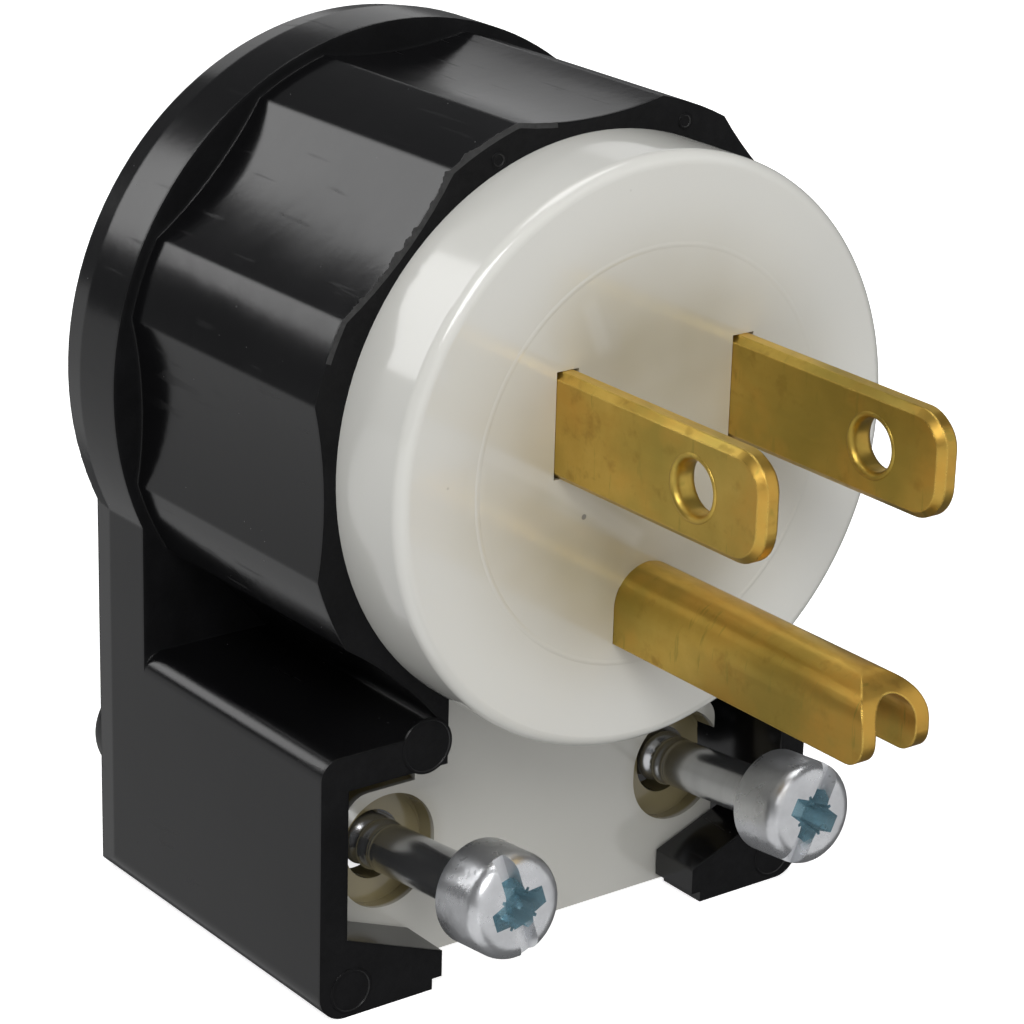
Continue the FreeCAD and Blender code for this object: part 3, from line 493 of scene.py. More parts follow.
    def blend_shaders(self, factor, other):
        """Show the other shader where factor is 1."""
        mixer = self.tree.nodes.new("ShaderNodeMixShader")
        self.tree.links.new(factor.socket, mixer.inputs[0])
        self.tree.links.new(self.shader.outputs[0], mixer.inputs[1])
        self.tree.links.new(other.outputs[0], mixer.inputs[2])
        self.tree.links.new(mixer.outputs[0], self.end.inputs[0])


# ------------------------------------------------------------------ mesh helpers

def link(name, mesh, material, body, smooth=40.0):
    """Put a new piece in the scene, on its body; smooth is the sharpest soft edge."""
    piece = bpy.data.objects.new(name, mesh)
    bpy.context.scene.collection.objects.link(piece)
    piece.data.materials.clear()
    piece.data.materials.append(material)
    if smooth:
        piece.data.shade_smooth()
        piece.data.set_sharp_from_angle(angle=math.radians(smooth))
    if body:
        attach(piece, body)
    return piece


def dress(name, material, smooth=35.0):
    """Give a CAD node its finish."""
    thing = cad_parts[name]
    thing.data.materials.clear()
    thing.data.materials.append(material)
    thing.data.shade_smooth()
    thing.data.set_sharp_from_angle(angle=math.radians(smooth))


def mesh_from(name, build):
    """A closed mesh from a function that fills a bmesh."""
    bm = bmesh.new()
    build(bm)
    bmesh.ops.remove_doubles(bm, verts=bm.verts, dist=1e-7)
    bmesh.ops.recalc_face_normals(bm, faces=bm.faces)
    mesh = bpy.data.meshes.new(name)
    bm.to_mesh(mesh)
    bm.free()
    return mesh


def join_loops(bm, a, b):
    """Faces between two closed loops with as many points each."""
    n = len(a)
    for k in range(n):
        bm.faces.new((a[k], a[(k + 1) % n], b[(k + 1) % n], b[k]))


def lathe(bm, profile, steps=96, wobble=None):
    """Turn (y, r) points about the Y axis; r may depend on the turn through wobble."""
    rings = []
    for y, r in profile:
        ring = []
        for k in range(steps):
            a = 2 * math.pi * k / steps
            rr = wobble(y, r, a) if wobble else r
            ring.append(bm.verts.new((rr * math.cos(a), y, rr * math.sin(a))))
        rings.append(ring)
    for low, high in zip(rings, rings[1:]):
        join_loops(bm, low, high)
    bm.faces.new(rings[0])
    bm.faces.new(rings[-1][::-1])


def prism(bm, outline, y0, y1, taper=1.0):
    """A closed outline in X and Z, run from y0 to y1."""
    low = [bm.verts.new((x, y0, z)) for x, z in outline]
    high = [bm.verts.new((x * taper, y1, z * taper)) for x, z in outline]
    join_loops(bm, low, high)
    bm.faces.new(low[::-1])
    bm.faces.new(high)


def carve(name, body_mesh, cutter_meshes):
    """Cut closed meshes out of a closed mesh."""
    target = bpy.data.objects.new(name, body_mesh)
    bpy.context.scene.collection.objects.link(target)
    tools = []
    for i, mesh in enumerate(cutter_meshes):
        tool = bpy.data.objects.new("%s_tool_%d" % (name, i), mesh)
        bpy.context.scene.collection.objects.link(tool)
        tools.append(tool)
        modifier = target.modifiers.new("cut", "BOOLEAN")
        modifier.operation = "DIFFERENCE"
        modifier.solver = "EXACT"
        modifier.object = tool
    bpy.context.view_layer.update()
    graph = bpy.context.evaluated_depsgraph_get()
    mesh = bpy.data.meshes.new_from_object(target.evaluated_get(graph))
    mesh.name = name
    for thing in [target] + tools:
        bpy.data.objects.remove(thing)
    return mesh


def front_of(shell):
    """Station of the foremost plane of a solid."""
    return min(v.co.y for v in shell.data.vertices)


# ------------------------------------------------------------------ finishes

def black_nylon(name, colour):
    """Glossy black nylon, with the matt front planes where the mould parts."""
    f = Finish(name, IOR=1.53, Specular_IOR_Level=0.5)
    cloud = f.noise(90, 4, 0.55)
    fine = f.noise(1100, 3, 0.6)
    scratch = f.drawn((2600, 160, 900), 2, 0.5, (0.2, 0.1, 0.5))
    rub = f.ramp(scratch, [(0.66, 0.0), (0.70, 1.0)])
    dust = f.specks(1500, 0.045, 0.86)
    cloudy = f.mix(cloud, colour, tuple(c * 1.6 + 0.001 for c in colour))
    f.set("Base Color", f.mix(dust * 0.8, cloudy, (0.16, 0.16, 0.16)))
    polish = f.ramp(cloud, [(0.3, 0.09), (0.7, 0.17)])
    f.set("Roughness", polish + fine * 0.05 + rub * 0.10 + dust * 0.3)
    wave = f.noise(60, 2, 0.4)
    edges = f.soft_edges(0.3 * MM)
    f.set("Normal", f.bump(wave * 0.8 + fine * 0.03, 0.22, 0.6 * MM, edges))

    matt = f.second(IOR=1.5, Specular_IOR_Level=0.16)
    pits = f.noise(1800, 4, 0.7)
    worn = f.ramp(f.noise(300, 4, 0.6), [(0.35, 0.0), (0.75, 1.0)])
    f.set("Base Color", f.mix(worn, shade(colour, 1.1), shade(colour, 2.2)), matt)
    f.set("Roughness", f.ramp(pits, [(0.3, 0.5), (0.7, 0.7)]), matt)
    f.set("Normal", f.bump(pits, 0.35, 0.1 * MM, edges), matt)
    forwards = f.part(f.facing(), 1) * -1
    f.blend_shaders(f.step(forwards, 0.80, 0.93), matt)
    return f.material


def white_nylon(name, white, shaded_cream, warmth_and_shade, speck=None):
    """Milky nylon, warmer and darker where the mask is high, with some dirt moulded in; the mask and its colour
    carry painted shade as well as the nylon's own warmth.
    """
    f = Finish(name, IOR=1.53, Coat_Weight=0.4, Coat_Roughness=0.05)
    where = f.place()
    cloud = f.ramp(f.noise(75, 3, 0.5, where), [(0.36, 0.0), (0.68, 1.0)])
    tone = f.mix(warmth_and_shade(f) * (0.55 + cloud * 0.45), white, shaded_cream)
    dirt = f.specks(420, 0.05, 0.93)
    if speck:
        dirt = f.most(dirt, 1 - f.step(f.distance(speck), 0.13 * MM, 0.2 * MM))
    f.set("Base Color", f.mix(dirt * 0.75, tone, (0.10, 0.09, 0.08)))
    smudge = f.noise(240, 4, 0.6, where)
    f.set("Roughness", f.ramp(smudge, [(0.3, 0.10), (0.7, 0.20)]))
    ripple = f.noise(130, 2, 0.4, where)
    f.set("Normal", f.bump(ripple + smudge * 0.15, 0.06, 0.4 * MM))
    return f.material


def warm_shaded_face(f):
    """Where the face is warmer and darker: thick in the middle, with painted shade from the blades there, and
    its ribs showing through.
    """
    out = f.from_axis((0, 0, 0), (0, 1, 0))
    depth = f.part(f.here(), 1)
    # Painted shade with the nylon's warmth: the middle of the face turns to the darker colour where the blades
    # shade it and the nylon is thick.
    warm_shaded_heart = (1 - f.step(out, 6.5 * MM, 16.5 * MM)) * (1 - f.step(depth, 0.1 * MM, 2.5 * MM))
    for (x0, z0), (x1, z1) in RIBS_BEHIND_FACE:
        rib = f.band((x0 * MM, z0 * MM), (x1 * MM, z1 * MM), 0.5 * MM)
        warm_shaded_heart = warm_shaded_heart * (1 - rib * 0.22)
    return warm_shaded_heart


def brass(name, colour):
    """Stamped brass: drawn lines along the blade, stains and bright rubbed edges."""
    f = Finish(name, Metallic=0.94)
    dull = shade(colour, 0.80, 0.74, 0.62)
    dark = shade(colour, 0.50, 0.42, 0.36)
    pale = shade(colour, 1.38, 1.42, 1.55)
    olive = shade(colour, 0.62, 0.68, 0.60)
    copper = shade(colour, 1.06, 0.86, 0.72)
    lines = f.drawn((1500, 60, 1500), 4, 0.65)
    long_lines = f.drawn((700, 18, 700), 2, 0.5, (0, 0.04, 0.02))

    stain = f.ramp(f.noise(230, 5, 0.65), [(0.35, 0.0), (0.72, 1.0)])
    spots = f.ramp(f.noise(620, 3, 0.6), [(0.58, 0.0), (0.72, 1.0)])
    base = f.mix(spots * 0.5, f.mix(stain, colour, dull), dark)
    film = f.ramp(f.noise(95, 3, 0.6), [(0.38, 0.0), (0.62, 0.9)])
    blush = f.ramp(f.noise(150, 3, 0.6, f.place((1, 1, 1), (1.1, 0.4, 0.2))),
                   [(0.50, 0.0), (0.70, 0.8)])
    base = f.mix(blush, f.mix(film, base, olive), copper)
    tip = f.step(f.part(f.here(), 1) * -1, 13.5 * MM, 17.5 * MM)
    handled = f.ramp(f.noise(420, 4, 0.6), [(0.35, 0.1), (0.65, 0.9)])
    base = f.mix(tip * handled * 0.8, base, copper)
    scuffs = f.ramp(f.drawn((420, 1900, 300), 3, 0.6, (0.3, 0.2, 0.1)), [(0.62, 0.0), (0.70, 0.7)])
    base = f.mix(scuffs, base, olive)

    edges = f.soft_edges(0.16 * MM)
    worn = f.edge_wear(edges) * f.ramp(f.noise(900, 3, 0.6), [(0.3, 0.4), (0.6, 1.0)])
    cut = f.step(f.size_of(f.part(f.facing(), 2)), 0.9, 0.97)
    grit = f.ramp(f.drawn((900, 300, 900), 3, 0.6), [(0.3, 0.25), (0.7, 1.0)])
    f.set("Base Color", f.mix(f.most(worn, cut * grit * 0.8), base, pale))
    polish = f.ramp(lines, [(0.3, 0.28), (0.7, 0.44)])
    f.set("Roughness", polish + spots * 0.15 - worn * 0.12 + cut * 0.08)
    f.set("Normal", f.bump(lines * 0.6 + long_lines * 0.6, 0.3, 0.08 * MM, edges))
    return f.material


def zinc(name, colour):
    """Zinc plate: a tumbled skin with small dents and dark pinholes."""
    f = Finish(name, Metallic=0.88)
    grain = f.noise(1500, 3, 0.6)
    blotch = f.noise(520, 4, 0.6)
    holes = f.ramp(f.noise(1900, 2, 0.5), [(0.70, 0.0), (0.76, 1.0)])
    tone = f.mix(f.ramp(blotch, [(0.35, 0.0), (0.75, 0.6)]), colour, shade(colour, 0.7))
    f.set("Base Color", f.mix(holes * 0.5, tone, (0.2, 0.2, 0.21)))
    f.set("Roughness", f.ramp(blotch, [(0.3, 0.20), (0.7, 0.36)]) + grain * 0.04)
    f.set("Normal", f.bump(grain * 0.5 + blotch, 0.35, 0.12 * MM))
    return f.material


def shank_zinc(name, colour):
    """Zinc on the rolled shank and thread: smooth, with faint marks round it."""
    f = Finish(name, Metallic=0.93)
    marks = f.drawn((120, 900, 120), 3, 0.6)
    f.set("Base Color", f.mix(f.ramp(marks, [(0.35, 0.0), (0.7, 0.5)]), colour, shade(colour, 0.75)))
    f.set("Roughness", f.ramp(marks, [(0.3, 0.15), (0.7, 0.24)]))
    f.set("Normal", f.bump(marks, 0.08, 0.05 * MM))
    return f.material


def torn_nylon(name, colour):
    """The pale, rough edge of torn black film."""
    f = Finish(name, IOR=1.5, Specular_IOR_Level=0.3)
    tear = f.noise(2400, 4, 0.7)
    f.set("Base Color", f.mix(tear, colour, tuple(c + 0.07 for c in colour)))
    f.set("Roughness", f.ramp(tear, [(0.3, 0.4), (0.7, 0.7)]))
    f.set("Normal", f.bump(tear, 0.5, 0.08 * MM))
    return f.material


def plain_metal(name, colour, rough, metallic=1.0):
    """Metal with a fine grain and nothing else."""
    f = Finish(name, Metallic=metallic)
    grain = f.noise(900, 3, 0.6)
    f.set("Base Color", f.mix(grain, colour, shade(colour, 0.8)))
    f.set("Roughness", f.ramp(grain, [(0.3, rough - 0.05), (0.7, rough + 0.1)]))
    f.set("Normal", f.bump(grain, 0.2, 0.05 * MM))
    return f.material


# ------------------------------------------------------------------ pieces

class PLUG_OT_housing(bpy.types.Operator):
    """Finish the black housing"""
    bl_idname = "plug.housing"
    bl_label = "Housing"

    def execute(self, context):
        dress("housing", black_nylon("black nylon", tuple(context.scene.plug_finishes.black)))
        return {"FINISHED"}


class PLUG_OT_ejector_marks(bpy.types.Operator):
    """Add the round marks that the mould's pins left on the housing"""
    bl_idname = "plug.ejector_marks"
    bl_label = "Ejector marks"

    def execute(self, context):
        size = context.scene.plug_housing
        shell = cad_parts["housing"]
        front, sunk, proud = front_of(shell), size.mark_sunk, size.mark_proud
        lip, groove, dish = 0.14 * MM, 0.20 * MM, 0.4 * MM      # in from the outer edge
        for number, mark in enumerate(EJECTOR_MARKS, 1):
            x, z, radius = (value * MM for value in mark)

            def disc(bm, x=x, z=z, radius=radius):
                lathe(bm, [(front + sunk, radius), (front - proud * 0.6, radius),
                           (front - proud, radius - proud), (front - proud, radius - lip),
                           (front - proud * 0.2, radius - groove),
                           (front - proud * 0.35, radius - dish),
                           (front - proud * 0.35, AXIS_POINT)], 48)
                bmesh.ops.translate(bm, verts=bm.verts, vec=(x, 0, z))
            link("ejector_mark_%d" % number, mesh_from("ejector_mark", disc),
                 shell.data.materials[0], "plug")
        return {"FINISHED"}


class PLUG_OT_parting_flash(bpy.types.Operator):
    """Add the torn film that the mould left along the front edge of the grip"""
    bl_idname = "plug.parting_flash"
    bl_label = "Parting flash"

    def execute(self, context):
        size = context.scene.plug_housing
        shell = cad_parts["housing"]
        front = front_of(shell)
        inner, lowest = 18.2 * MM, -8 * MM      # the grip's rim lies outside and above these
        rim = sorted((math.atan2(v.co.z, v.co.x), math.hypot(v.co.x, v.co.z))
                     for v in shell.data.vertices
                     if abs(v.co.y - front) < 0.01 * MM and v.co.z > lowest
                     and math.hypot(v.co.x, v.co.z) > inner)

        def rim_radius(a):
            after = next((i for i, (b, _) in enumerate(rim) if b >= a), len(rim) - 1)
            (a0, r0), (a1, r1) = rim[max(0, after - 1)], rim[after]
            return r0 + (r1 - r0) * ((a - a0) / (a1 - a0) if a1 > a0 else 0)

        steps, fade_in, fade_out = 360, 25, 60
        root, least, skin = 0.3 * MM, 0.02 * MM, 0.01 * MM
        thick_root, thick_edge = 0.16 * MM, 0.05 * MM

        def flash(bm):
            rings = []
            for k in range(steps + 1):
                a = size.flash_start + size.flash_sweep * k / steps
                r = rim_radius(a)
                coarse = noise.noise(Vector((a * 26, 0.3, 0)))
                fine = noise.noise(Vector((a * 95, 1.7, 0)))
                tear = max(0.0, coarse + 0.5 * fine - 0.02)
                ends = min(1.0, k / fade_in, (steps - k) / fade_out)
                out = least + size.flash_reach * tear * ends
                section = ((r - root, front + thick_root), (r + out, front + thick_edge),
                           (r + out, front - skin), (r - root, front - skin))
                rings.append([bm.verts.new((q * math.cos(a), y, q * math.sin(a))) for q, y in section])
            for a, b in zip(rings, rings[1:]):
                join_loops(bm, a, b)
            bm.faces.new(rings[0][::-1])
            bm.faces.new(rings[-1])
        torn = torn_nylon("torn nylon", tuple(context.scene.plug_finishes.black))
        link("parting_flash", mesh_from("parting_flash", flash), torn, "plug")
        return {"FINISHED"}


class PLUG_OT_face(bpy.types.Operator):
    """Finish the white face, with a tighter rim and closer mouths than the solid's"""
    bl_idname = "plug.face"
    bl_label = "Face"

    def execute(self, context):
        tone = context.scene.plug_finishes
        size = context.scene.plug_face
        white = white_nylon("white nylon", tuple(tone.white), tuple(tone.shaded_cream), warm_shaded_face,
                            tuple(size.speck))
        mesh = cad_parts["face_body"].data.copy()
        mesh.name = "face_moulding"
        on_plane, hair = 0.001 * MM, 0.01 * MM
        within = 13.5 * MM                          # the mouths lie inside this radius
        blade_low, pin_split = -2 * MM, -11 * MM    # heights between blades and pin, and across the pin
        gap, pin_take = 0.02 * MM, 0.1 * MM
        outer = max(math.hypot(v.co.x, v.co.z) for v in mesh.vertices if v.co.y < 4 * MM)
        rim_start = outer - size.soft_rim

        def close_on_blade(v):
            low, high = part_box("blade_left" if v.co.x < 0 else "blade_right")
            v.co.x = min(high.x + gap, max(low.x - gap, v.co.x))
            v.co.z = min(high.z + gap, max(low.z - gap, v.co.z))

        def close_on_pin(v):
            v.co.x -= math.copysign(min(abs(v.co.x), pin_take), v.co.x)
            if v.co.z < pin_split:
                v.co.z += pin_take
            elif abs(v.co.x) < 2 * MM:
                v.co.z -= pin_take

        def tighten(v, r):
            t = math.atan2(r - rim_start, size.soft_rim - v.co.y)
            t = min(math.pi / 2, max(0.0, t))
            new = outer - size.tight_rim + size.tight_rim * math.sin(t)
            v.co = Vector((v.co.x * new / r, size.tight_rim * (1 - math.cos(t)), v.co.z * new / r))

        for v in mesh.vertices:
            r = math.hypot(v.co.x, v.co.z)
            if v.co.y < on_plane and r < within:
                if v.co.z > blade_low:
                    close_on_blade(v)
                else:
                    close_on_pin(v)
            if v.co.y < size.soft_rim + hair and r > rim_start - hair:
                tighten(v, r)
        moulding = link("face_moulding", mesh, white, "plug", 30)
        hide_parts("face_body")
        dress("terminal_retainer", white)
        return {"FINISHED"}


class PLUG_OT_face_ring(bpy.types.Operator):
    """Raise the thin ring on the face"""
    bl_idname = "plug.face_ring"
    bl_label = "Face ring"

    def execute(self, context):
        tone = context.scene.plug_finishes
        size = context.scene.plug_face
        steps, quarter, sunk = 160, 4, 0.02 * MM

        def ring(bm):
            section = []
            for k in range(-quarter, quarter + 1):
                crown = math.cos(math.pi / 2 * k / quarter) ** 1.5
                section.append((size.ring_width / 2 * k / quarter,
                                sunk - (size.ring_height + sunk) * crown))
            loops = []
            for across, y in section:
                r = size.ring_radius + across
                loops.append([bm.verts.new((r * math.cos(2 * math.pi * k / steps), y,
                                            r * math.sin(2 * math.pi * k / steps))) for k in range(steps)])
            for a, b in zip(loops, loops[1:] + loops[:1]):
                join_loops(bm, a, b)
        ridge = white_nylon("white ridge", tuple(tone.white), tuple(tone.shaded_cream), warm_shaded_face)
        link("face_ring", mesh_from("face_ring", ring), ridge, "plug")
        return {"FINISHED"}


class PLUG_OT_contacts(bpy.types.Operator):
    """Finish the blades and the ground pin"""
    bl_idname = "plug.contacts"
    bl_label = "Contacts"

    def execute(self, context):
        metal = brass("stamped brass", tuple(context.scene.plug_finishes.brass))
        for name in ("blade_left", "blade_right", "ground_pin"):
            dress(name, metal)
        return {"FINISHED"}


class PLUG_OT_hole_rims(bpy.types.Operator):
    """Add the rolled edge of the punched hole, on both faces of each blade"""
    bl_idname = "plug.hole_rims"
    bl_label = "Hole rims"

    def execute(self, context):
        size = context.scene.plug_contacts
        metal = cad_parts["blade_left"].data.materials[0]
        steps = 64

        def rim(bm):
            half, r = size.blade_thickness / 2, size.hole_radius
            side = [(half - 0.05 * MM, r + 0.46 * MM), (half + 0.05 * MM, r + 0.40 * MM),
                    (half + 0.07 * MM, r + 0.26 * MM), (half - 0.01 * MM, r + 0.15 * MM),
                    (half - 0.05 * MM, r + 0.12 * MM), (half - 0.20 * MM, r + 0.03 * MM),
                    (half - 0.40 * MM, r)]
            section = side + [(-u, q) for u, q in side[::-1]]
            loops = [[bm.verts.new((u, q * math.cos(2 * math.pi * k / steps),
                                    q * math.sin(2 * math.pi * k / steps))) for k in range(steps)]
                     for u, q in section]
            for a, b in zip(loops, loops[1:] + loops[:1]):
                join_loops(bm, a, b)
        for tag, _ in SIDES:
            low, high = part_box("blade_" + tag)
            mesh = mesh_from("hole_rim_" + tag, rim)
            mesh.transform(Matrix.Translation(
                ((low.x + high.x) / 2, -size.hole_reach, (low.z + high.z) / 2)))
            link("hole_rim_" + tag, mesh, metal, "plug", 60)
        return {"FINISHED"}


class PLUG_OT_clamp(bpy.types.Operator):
    """Finish the white cord clamp"""
    bl_idname = "plug.clamp"
    bl_label = "Cord clamp"

    def execute(self, context):
        tone = context.scene.plug_finishes
        screws = context.scene.plug_screws
        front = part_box("cord_clamp")[0].y
        along = (0, math.cos(screws.lean), -math.sin(screws.lean))

        def warmth_and_shade(f):
            """Warmer and darker round the screws, and more so inside their recesses: painted shade in the
            recesses, painted shade with the nylon's warmth round the screw pockets, and a little of it all
            over.
            """
            left, right = (f.from_axis((side * screws.offset, 0, -screws.drop), along) for _, side in SIDES)
            out = f.least(left, right)
            behind = f.step(f.part(f.here(), 1), front + 0.02 * MM, front + 0.6 * MM)
            # Painted shade with the nylon's warmth round the screw pockets, and a little everywhere.
            front_shade_and_warmth = (1 - f.step(out, 2.4 * MM, 4.6 * MM)) * 0.4 + 0.12
            # Painted shade inside the screw recesses, behind the clamp's front plane.
            painted_recess_shade = (1 - f.step(out, 4.2 * MM, 5.0 * MM)) * behind * 1.5
            return f.most(front_shade_and_warmth, painted_recess_shade)
        # Painted shade: the clamp's white is the face's white at 80 per cent, for the shade of the face above
        # it, and the darker colour goes darker still for the shade in the recesses.
        shaded_cream = shade(tone.shaded_cream, 0.62, 0.58, 0.42)
        dress("cord_clamp", white_nylon("clamp nylon", shade(tone.white, 0.80), shaded_cream, warmth_and_shade))
        return {"FINISHED"}


class PLUG_OT_clamp_screws(bpy.types.Operator):
    """Make the two clamp screws with their threads and driver recesses"""
    bl_idname = "plug.clamp_screws"
    bl_label = "Clamp screws"

    def execute(self, context):
        size = context.scene.plug_screws
        tone = context.scene.plug_finishes
        top = -size.head_length
        above = 0.4 * MM        # how far a cutter starts above the head

        def body(bm):
            edge, corner_steps, steps_per_turn = size.head_round, 8, 16
            profile = [(top, AXIS_POINT), (top, size.head_radius - edge)]
            for k in range(1, corner_steps + 1):
                a = math.pi / 2 * k / corner_steps
                profile.append((top + edge * (1 - math.cos(a)),
                                size.head_radius - edge + edge * math.sin(a)))
            profile += [(-size.head_chamfer, size.head_radius),
                        (0.0, size.head_radius - size.head_chamfer),
                        (0.0, size.shank_radius + size.neck), (size.neck, size.shank_radius),
                        (size.thread_start - 0.2 * MM, size.shank_radius)]
            threaded = size.length - size.thread_start
            count = int(threaded / size.pitch * steps_per_turn)
            profile += [(size.thread_start + threaded * k / count, -1) for k in range(count + 1)]

            def wobble(y, r, a):
                """The thread, where r is below 0: it runs out at both ends."""
                if r >= 0:
                    return r
                turn = (y - size.thread_start) / size.pitch - a / (2 * math.pi)
                rise = (0.5 - 0.5 * math.cos(2 * math.pi * (turn - math.floor(turn)))) ** 0.75
                start = min(1.0, max(0.0, (y - size.thread_start) / (1.2 * size.pitch)))
                end = min(1.0, max(0.0, (size.length - y) / (2.5 * size.pitch)))
                root = size.shank_radius + (size.root_radius - size.shank_radius) * start
                crest = (size.crest_radius - size.root_radius) * rise * start
                return (root + crest) * (0.62 + 0.38 * end)
            lathe(bm, profile, 96, wobble)

        def arms(bm):
            """The cross of the driver recess."""
            w, r, deep = 0.58 * MM, 1.95 * MM, 2.2 * MM
            inner = w * 1.35
            points = []
            for k in range(4):
                a = math.pi / 2 * k
                ax, az = math.cos(a), math.sin(a)
                bx, bz = -az, ax
                points += [(ax * r - bx * w, az * r - bz * w), (ax * r + bx * w, az * r + bz * w),
                           (ax * inner + bx * inner, az * inner + bz * inner)]
            prism(bm, points, top - above, top + deep, 0.62)

        def ticks(bm):
            """The fine lines between the arms of the cross."""
            w, r, deep = 0.16 * MM, 1.45 * MM, 1.2 * MM
            for k in range(4):
                a = math.pi / 2 * k + math.pi / 4
                ax, az = math.cos(a), math.sin(a)
                bx, bz = -az, ax
                outline = [(ax * r - bx * w * 0.6, az * r - bz * w * 0.6),
                           (ax * r + bx * w * 0.6, az * r + bz * w * 0.6),
                           (bx * w * 2, bz * w * 2), (-bx * w * 2, -bz * w * 2)]
                prism(bm, outline, top - above, top + deep, 0.7)

        def slot(bm):
            """The slot across the head, wider at its mouth."""
            wide, narrow, r = size.slot_width * 0.62, size.slot_width * 0.34, size.head_radius * 1.2
            mouth, floor = top - above / 2, top + size.slot_depth
            section = ((mouth, -wide), (mouth, wide), (floor, narrow), (floor, -narrow))
            ends = [[bm.verts.new((x, y, z)) for y, z in section] for x in (-r, r)]
            join_loops(bm, *ends)
            bm.faces.new(ends[0][::-1])
            bm.faces.new(ends[1])

        cut = carve("clamp_screw_mesh", mesh_from("screw_body", body),
                    [mesh_from("arms", arms), mesh_from("points", ticks), mesh_from("slot", slot)])
        metals = (zinc("zinc plate", tuple(tone.zinc)),
                  plain_metal("passivated recess", tuple(tone.recess), 0.22, 0.8),
                  shank_zinc("bright zinc", shade(tone.zinc, 0.92)))
        axis = Vector((0, math.cos(size.lean), -math.sin(size.lean)))
        flat = size.head_radius - size.head_round * 1.15
        for tag, side in SIDES:
            origin = Vector((side * size.offset, size.seat,
                             -size.drop - size.seat * math.tan(size.lean)))
            mesh = cut.copy()
            mesh.transform(Matrix.Translation(origin) @ Matrix.Rotation(-size.lean, 4, "X")
                           @ Matrix.Rotation(SCREW_TURNS[tag], 4, "Y"))
            piece = link("screw_with_thread_" + tag, mesh, metals[0], "clamp_screw_" + tag)
            for metal in metals[1:]:
                piece.data.materials.append(metal)
            for polygon in piece.data.polygons:
                rel = Vector(polygon.center) - origin
                along = rel.dot(axis)
                out = (rel - along * axis).length
                if top + 0.12 * MM < along < -0.3 * MM and out < flat:
                    polygon.material_index = 1
                elif along > 0:
                    polygon.material_index = 2
            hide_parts("clamp_screw_" + tag)
        return {"FINISHED"}


class PLUG_OT_inner_metal(bpy.types.Operator):
    """Finish the terminals and the fixing screws"""
    bl_idname = "plug.inner_metal"
    bl_label = "Terminals and fixings"

    def execute(self, context):
        tone = context.scene.plug_finishes
        yellow = plain_metal("terminal brass", tuple(tone.brass), 0.3)
        steel = plain_metal("fixing steel", tuple(tone.zinc), 0.32)
        green = plain_metal("ground screw", tuple(tone.ground), 0.35)
        for tag in ("left", "right", "ground"):
            dress("wire_plate_" + tag, yellow)
            dress("terminal_screw_" + tag, green if tag == "ground" else yellow)
        for tag, _ in SIDES:
            dress("assembly_screw_" + tag, steel)
            dress("retainer_screw_" + tag, steel)
        return {"FINISHED"}


# ------------------------------------------------------------------ stage

def towards(azimuth, elevation, distance=1.0):
    """A point in metres: degrees clockwise from the back of the plug, and up."""
    azimuth, elevation = math.radians(azimuth), math.radians(elevation)
    return distance * Vector((math.sin(azimuth) * math.cos(elevation),
                              math.cos(azimuth) * math.cos(elevation), math.sin(elevation)))


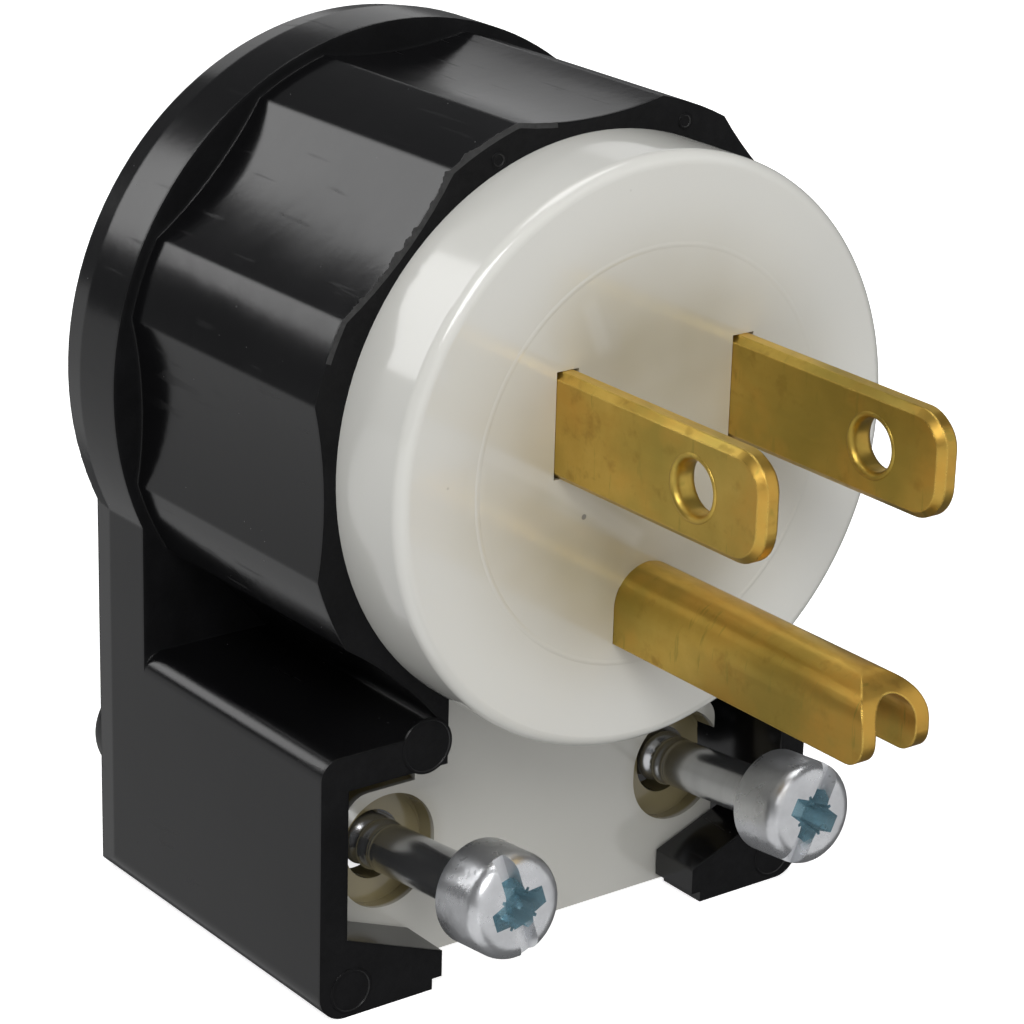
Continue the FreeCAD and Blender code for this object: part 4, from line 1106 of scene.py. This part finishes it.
class PLUG_OT_stage(bpy.types.Operator):
    """Set up the floor, the light and the camera"""
    bl_idname = "plug.stage"
    bl_label = "Stage"

    def execute(self, context):
        self.lay_floor(context)
        self.light(context)
        self.aim_camera(context)
        context.scene.view_settings.view_transform = "Standard"
        return {"FINISHED"}

    def lay_floor(self, context):
        """A pale floor that only the camera sees: reflections look past it."""
        low = CAD_BOX[0].z
        sides = 48
        sweep = ((2.0, 0), (2.6, 0.08), (3.0, 0.3), (3.2, 0.8), (3.2, 3.0))     # radius, rise

        def floor(bm):
            """A round table that sweeps up into a wall at its edge."""
            turns = [2 * math.pi * k / sides for k in range(sides)]
            rings = [[bm.verts.new((radius * math.sin(a), radius * math.cos(a), low + rise)) for a in turns]
                     for radius, rise in sweep]
            bm.faces.new(rings[0])
            for inner, outer in zip(rings, rings[1:]):
                join_loops(bm, inner, outer)
        pale = Finish("pale floor", Emission_Color=(1, 1, 1),
                      Emission_Strength=context.scene.plug_stage.floor_glow)
        pale.set("Base Color", pale.mix(pale.noise(3), (0.88, 0.88, 0.88), (0.92, 0.92, 0.92)))
        pale.set("Roughness", pale.ramp(pale.noise(40), [(0.3, 0.7), (0.7, 0.8)]))
        ground = link("floor", mesh_from("floor", floor), pale.material, None, 0)
        ground.visible_glossy = False
        ground.visible_diffuse = False
        ground.visible_shadow = False

    def light(self, context):
        """An even, dim room with soft lights in it."""
        size = context.scene.plug_stage
        context.scene.world = bpy.data.worlds.new("studio")
        context.scene.world.use_nodes = True
        room = context.scene.world.node_tree.nodes["Background"].inputs
        room[0].default_value = (0.97, 0.98, 1.0, 1)
        room[1].default_value = size.room
        for name, place, width, height in (
                ("key", Vector((-0.30, -0.34, 0.42)), 0.30, 0.30),
                ("front", towards(166, 6, 0.6), 1.5, 1.0),
                ("low_left", towards(-112, -33), 1.5, 1.3),
                ("low_back", towards(-37, -27), 1.1, 0.9),
                ("top", Vector((0.05, 0.05, 0.60)), 0.35, 0.35),
                ("window", towards(-31, 27), 0.37, 0.54),
                ("back", towards(28, 16), 0.64, 0.36)):
            data = bpy.data.lights.new(name, "AREA")
            data.shape = "RECTANGLE"
            data.size, data.size_y = width, height
            data.energy = getattr(size, name)
            lamp = bpy.data.objects.new(name, data)
            context.scene.collection.objects.link(lamp)
            lamp.location = place
            lamp.rotation_mode = "QUATERNION"
            lamp.rotation_quaternion = (-place).to_track_quat("-Z", "Y")
            lamp.visible_camera = False

    def aim_camera(self, context):
        """The camera that took the photograph, as fitted to the contacts."""
        size = context.scene.plug_stage
        azimuth, elevation, roll = size.azimuth, size.elevation, size.roll
        ahead = Vector((math.sin(azimuth) * math.cos(elevation),
                        math.cos(azimuth) * math.cos(elevation), -math.sin(elevation)))
        right = ahead.cross(Vector((0, 0, 1))).normalized()
        above = right.cross(ahead)
        right, above = (right * math.cos(roll) + above * math.sin(roll),
                        above * math.cos(roll) - right * math.sin(roll))
        data = bpy.data.cameras.new("camera")
        data.sensor_width = size.sensor
        data.lens = size.focal / size.photo_width * size.sensor
        data.clip_start, data.clip_end = 0.01, 20
        camera = bpy.data.objects.new("camera", data)
        context.scene.collection.objects.link(camera)
        at = right * size.across + above * size.up - ahead * size.distance + Vector((0, 0, size.rise))
        turn = Matrix((right, above, -ahead)).transposed()
        camera.matrix_world = Matrix.Translation(at) @ turn.to_4x4()
        context.scene.camera = camera


class PLUG_PT_panel(bpy.types.Panel):
    """Lists the pieces of the plug"""
    bl_idname = "PLUG_PT_panel"
    bl_label = "Plug"
    bl_space_type = "VIEW_3D"
    bl_region_type = "UI"
    bl_category = "Plug"

    def draw(self, context):
        for operator in STEPS:
            self.layout.operator(operator.bl_idname)


GROUPS = {"plug_housing": HousingSizes, "plug_screws": ScrewSizes, "plug_face": FaceSizes,
          "plug_contacts": ContactSizes, "plug_finishes": Finishes, "plug_stage": StageSizes}
STEPS = (PLUG_OT_housing, PLUG_OT_ejector_marks, PLUG_OT_parting_flash, PLUG_OT_face,
         PLUG_OT_face_ring, PLUG_OT_contacts, PLUG_OT_hole_rims, PLUG_OT_clamp,
         PLUG_OT_clamp_screws, PLUG_OT_inner_metal, PLUG_OT_stage)


def register():
    for group in GROUPS.values():
        bpy.utils.register_class(group)
    for name, group in GROUPS.items():
        setattr(bpy.types.Scene, name, PointerProperty(type=group))
    for item in STEPS + (PLUG_PT_panel,):
        bpy.utils.register_class(item)


def unregister():
    for item in (PLUG_PT_panel,) + STEPS[::-1]:
        bpy.utils.unregister_class(item)
    for name in GROUPS:
        delattr(bpy.types.Scene, name)
    for group in GROUPS.values():
        bpy.utils.unregister_class(group)


def main():
    register()
    bpy.ops.plug.housing()
    bpy.ops.plug.ejector_marks()
    bpy.ops.plug.parting_flash()
    bpy.ops.plug.face()
    bpy.ops.plug.face_ring()
    bpy.ops.plug.contacts()
    bpy.ops.plug.hole_rims()
    bpy.ops.plug.clamp()
    bpy.ops.plug.clamp_screws()
    bpy.ops.plug.inner_metal()
    bpy.ops.plug.stage()


if __name__ == "__main__":
    main()
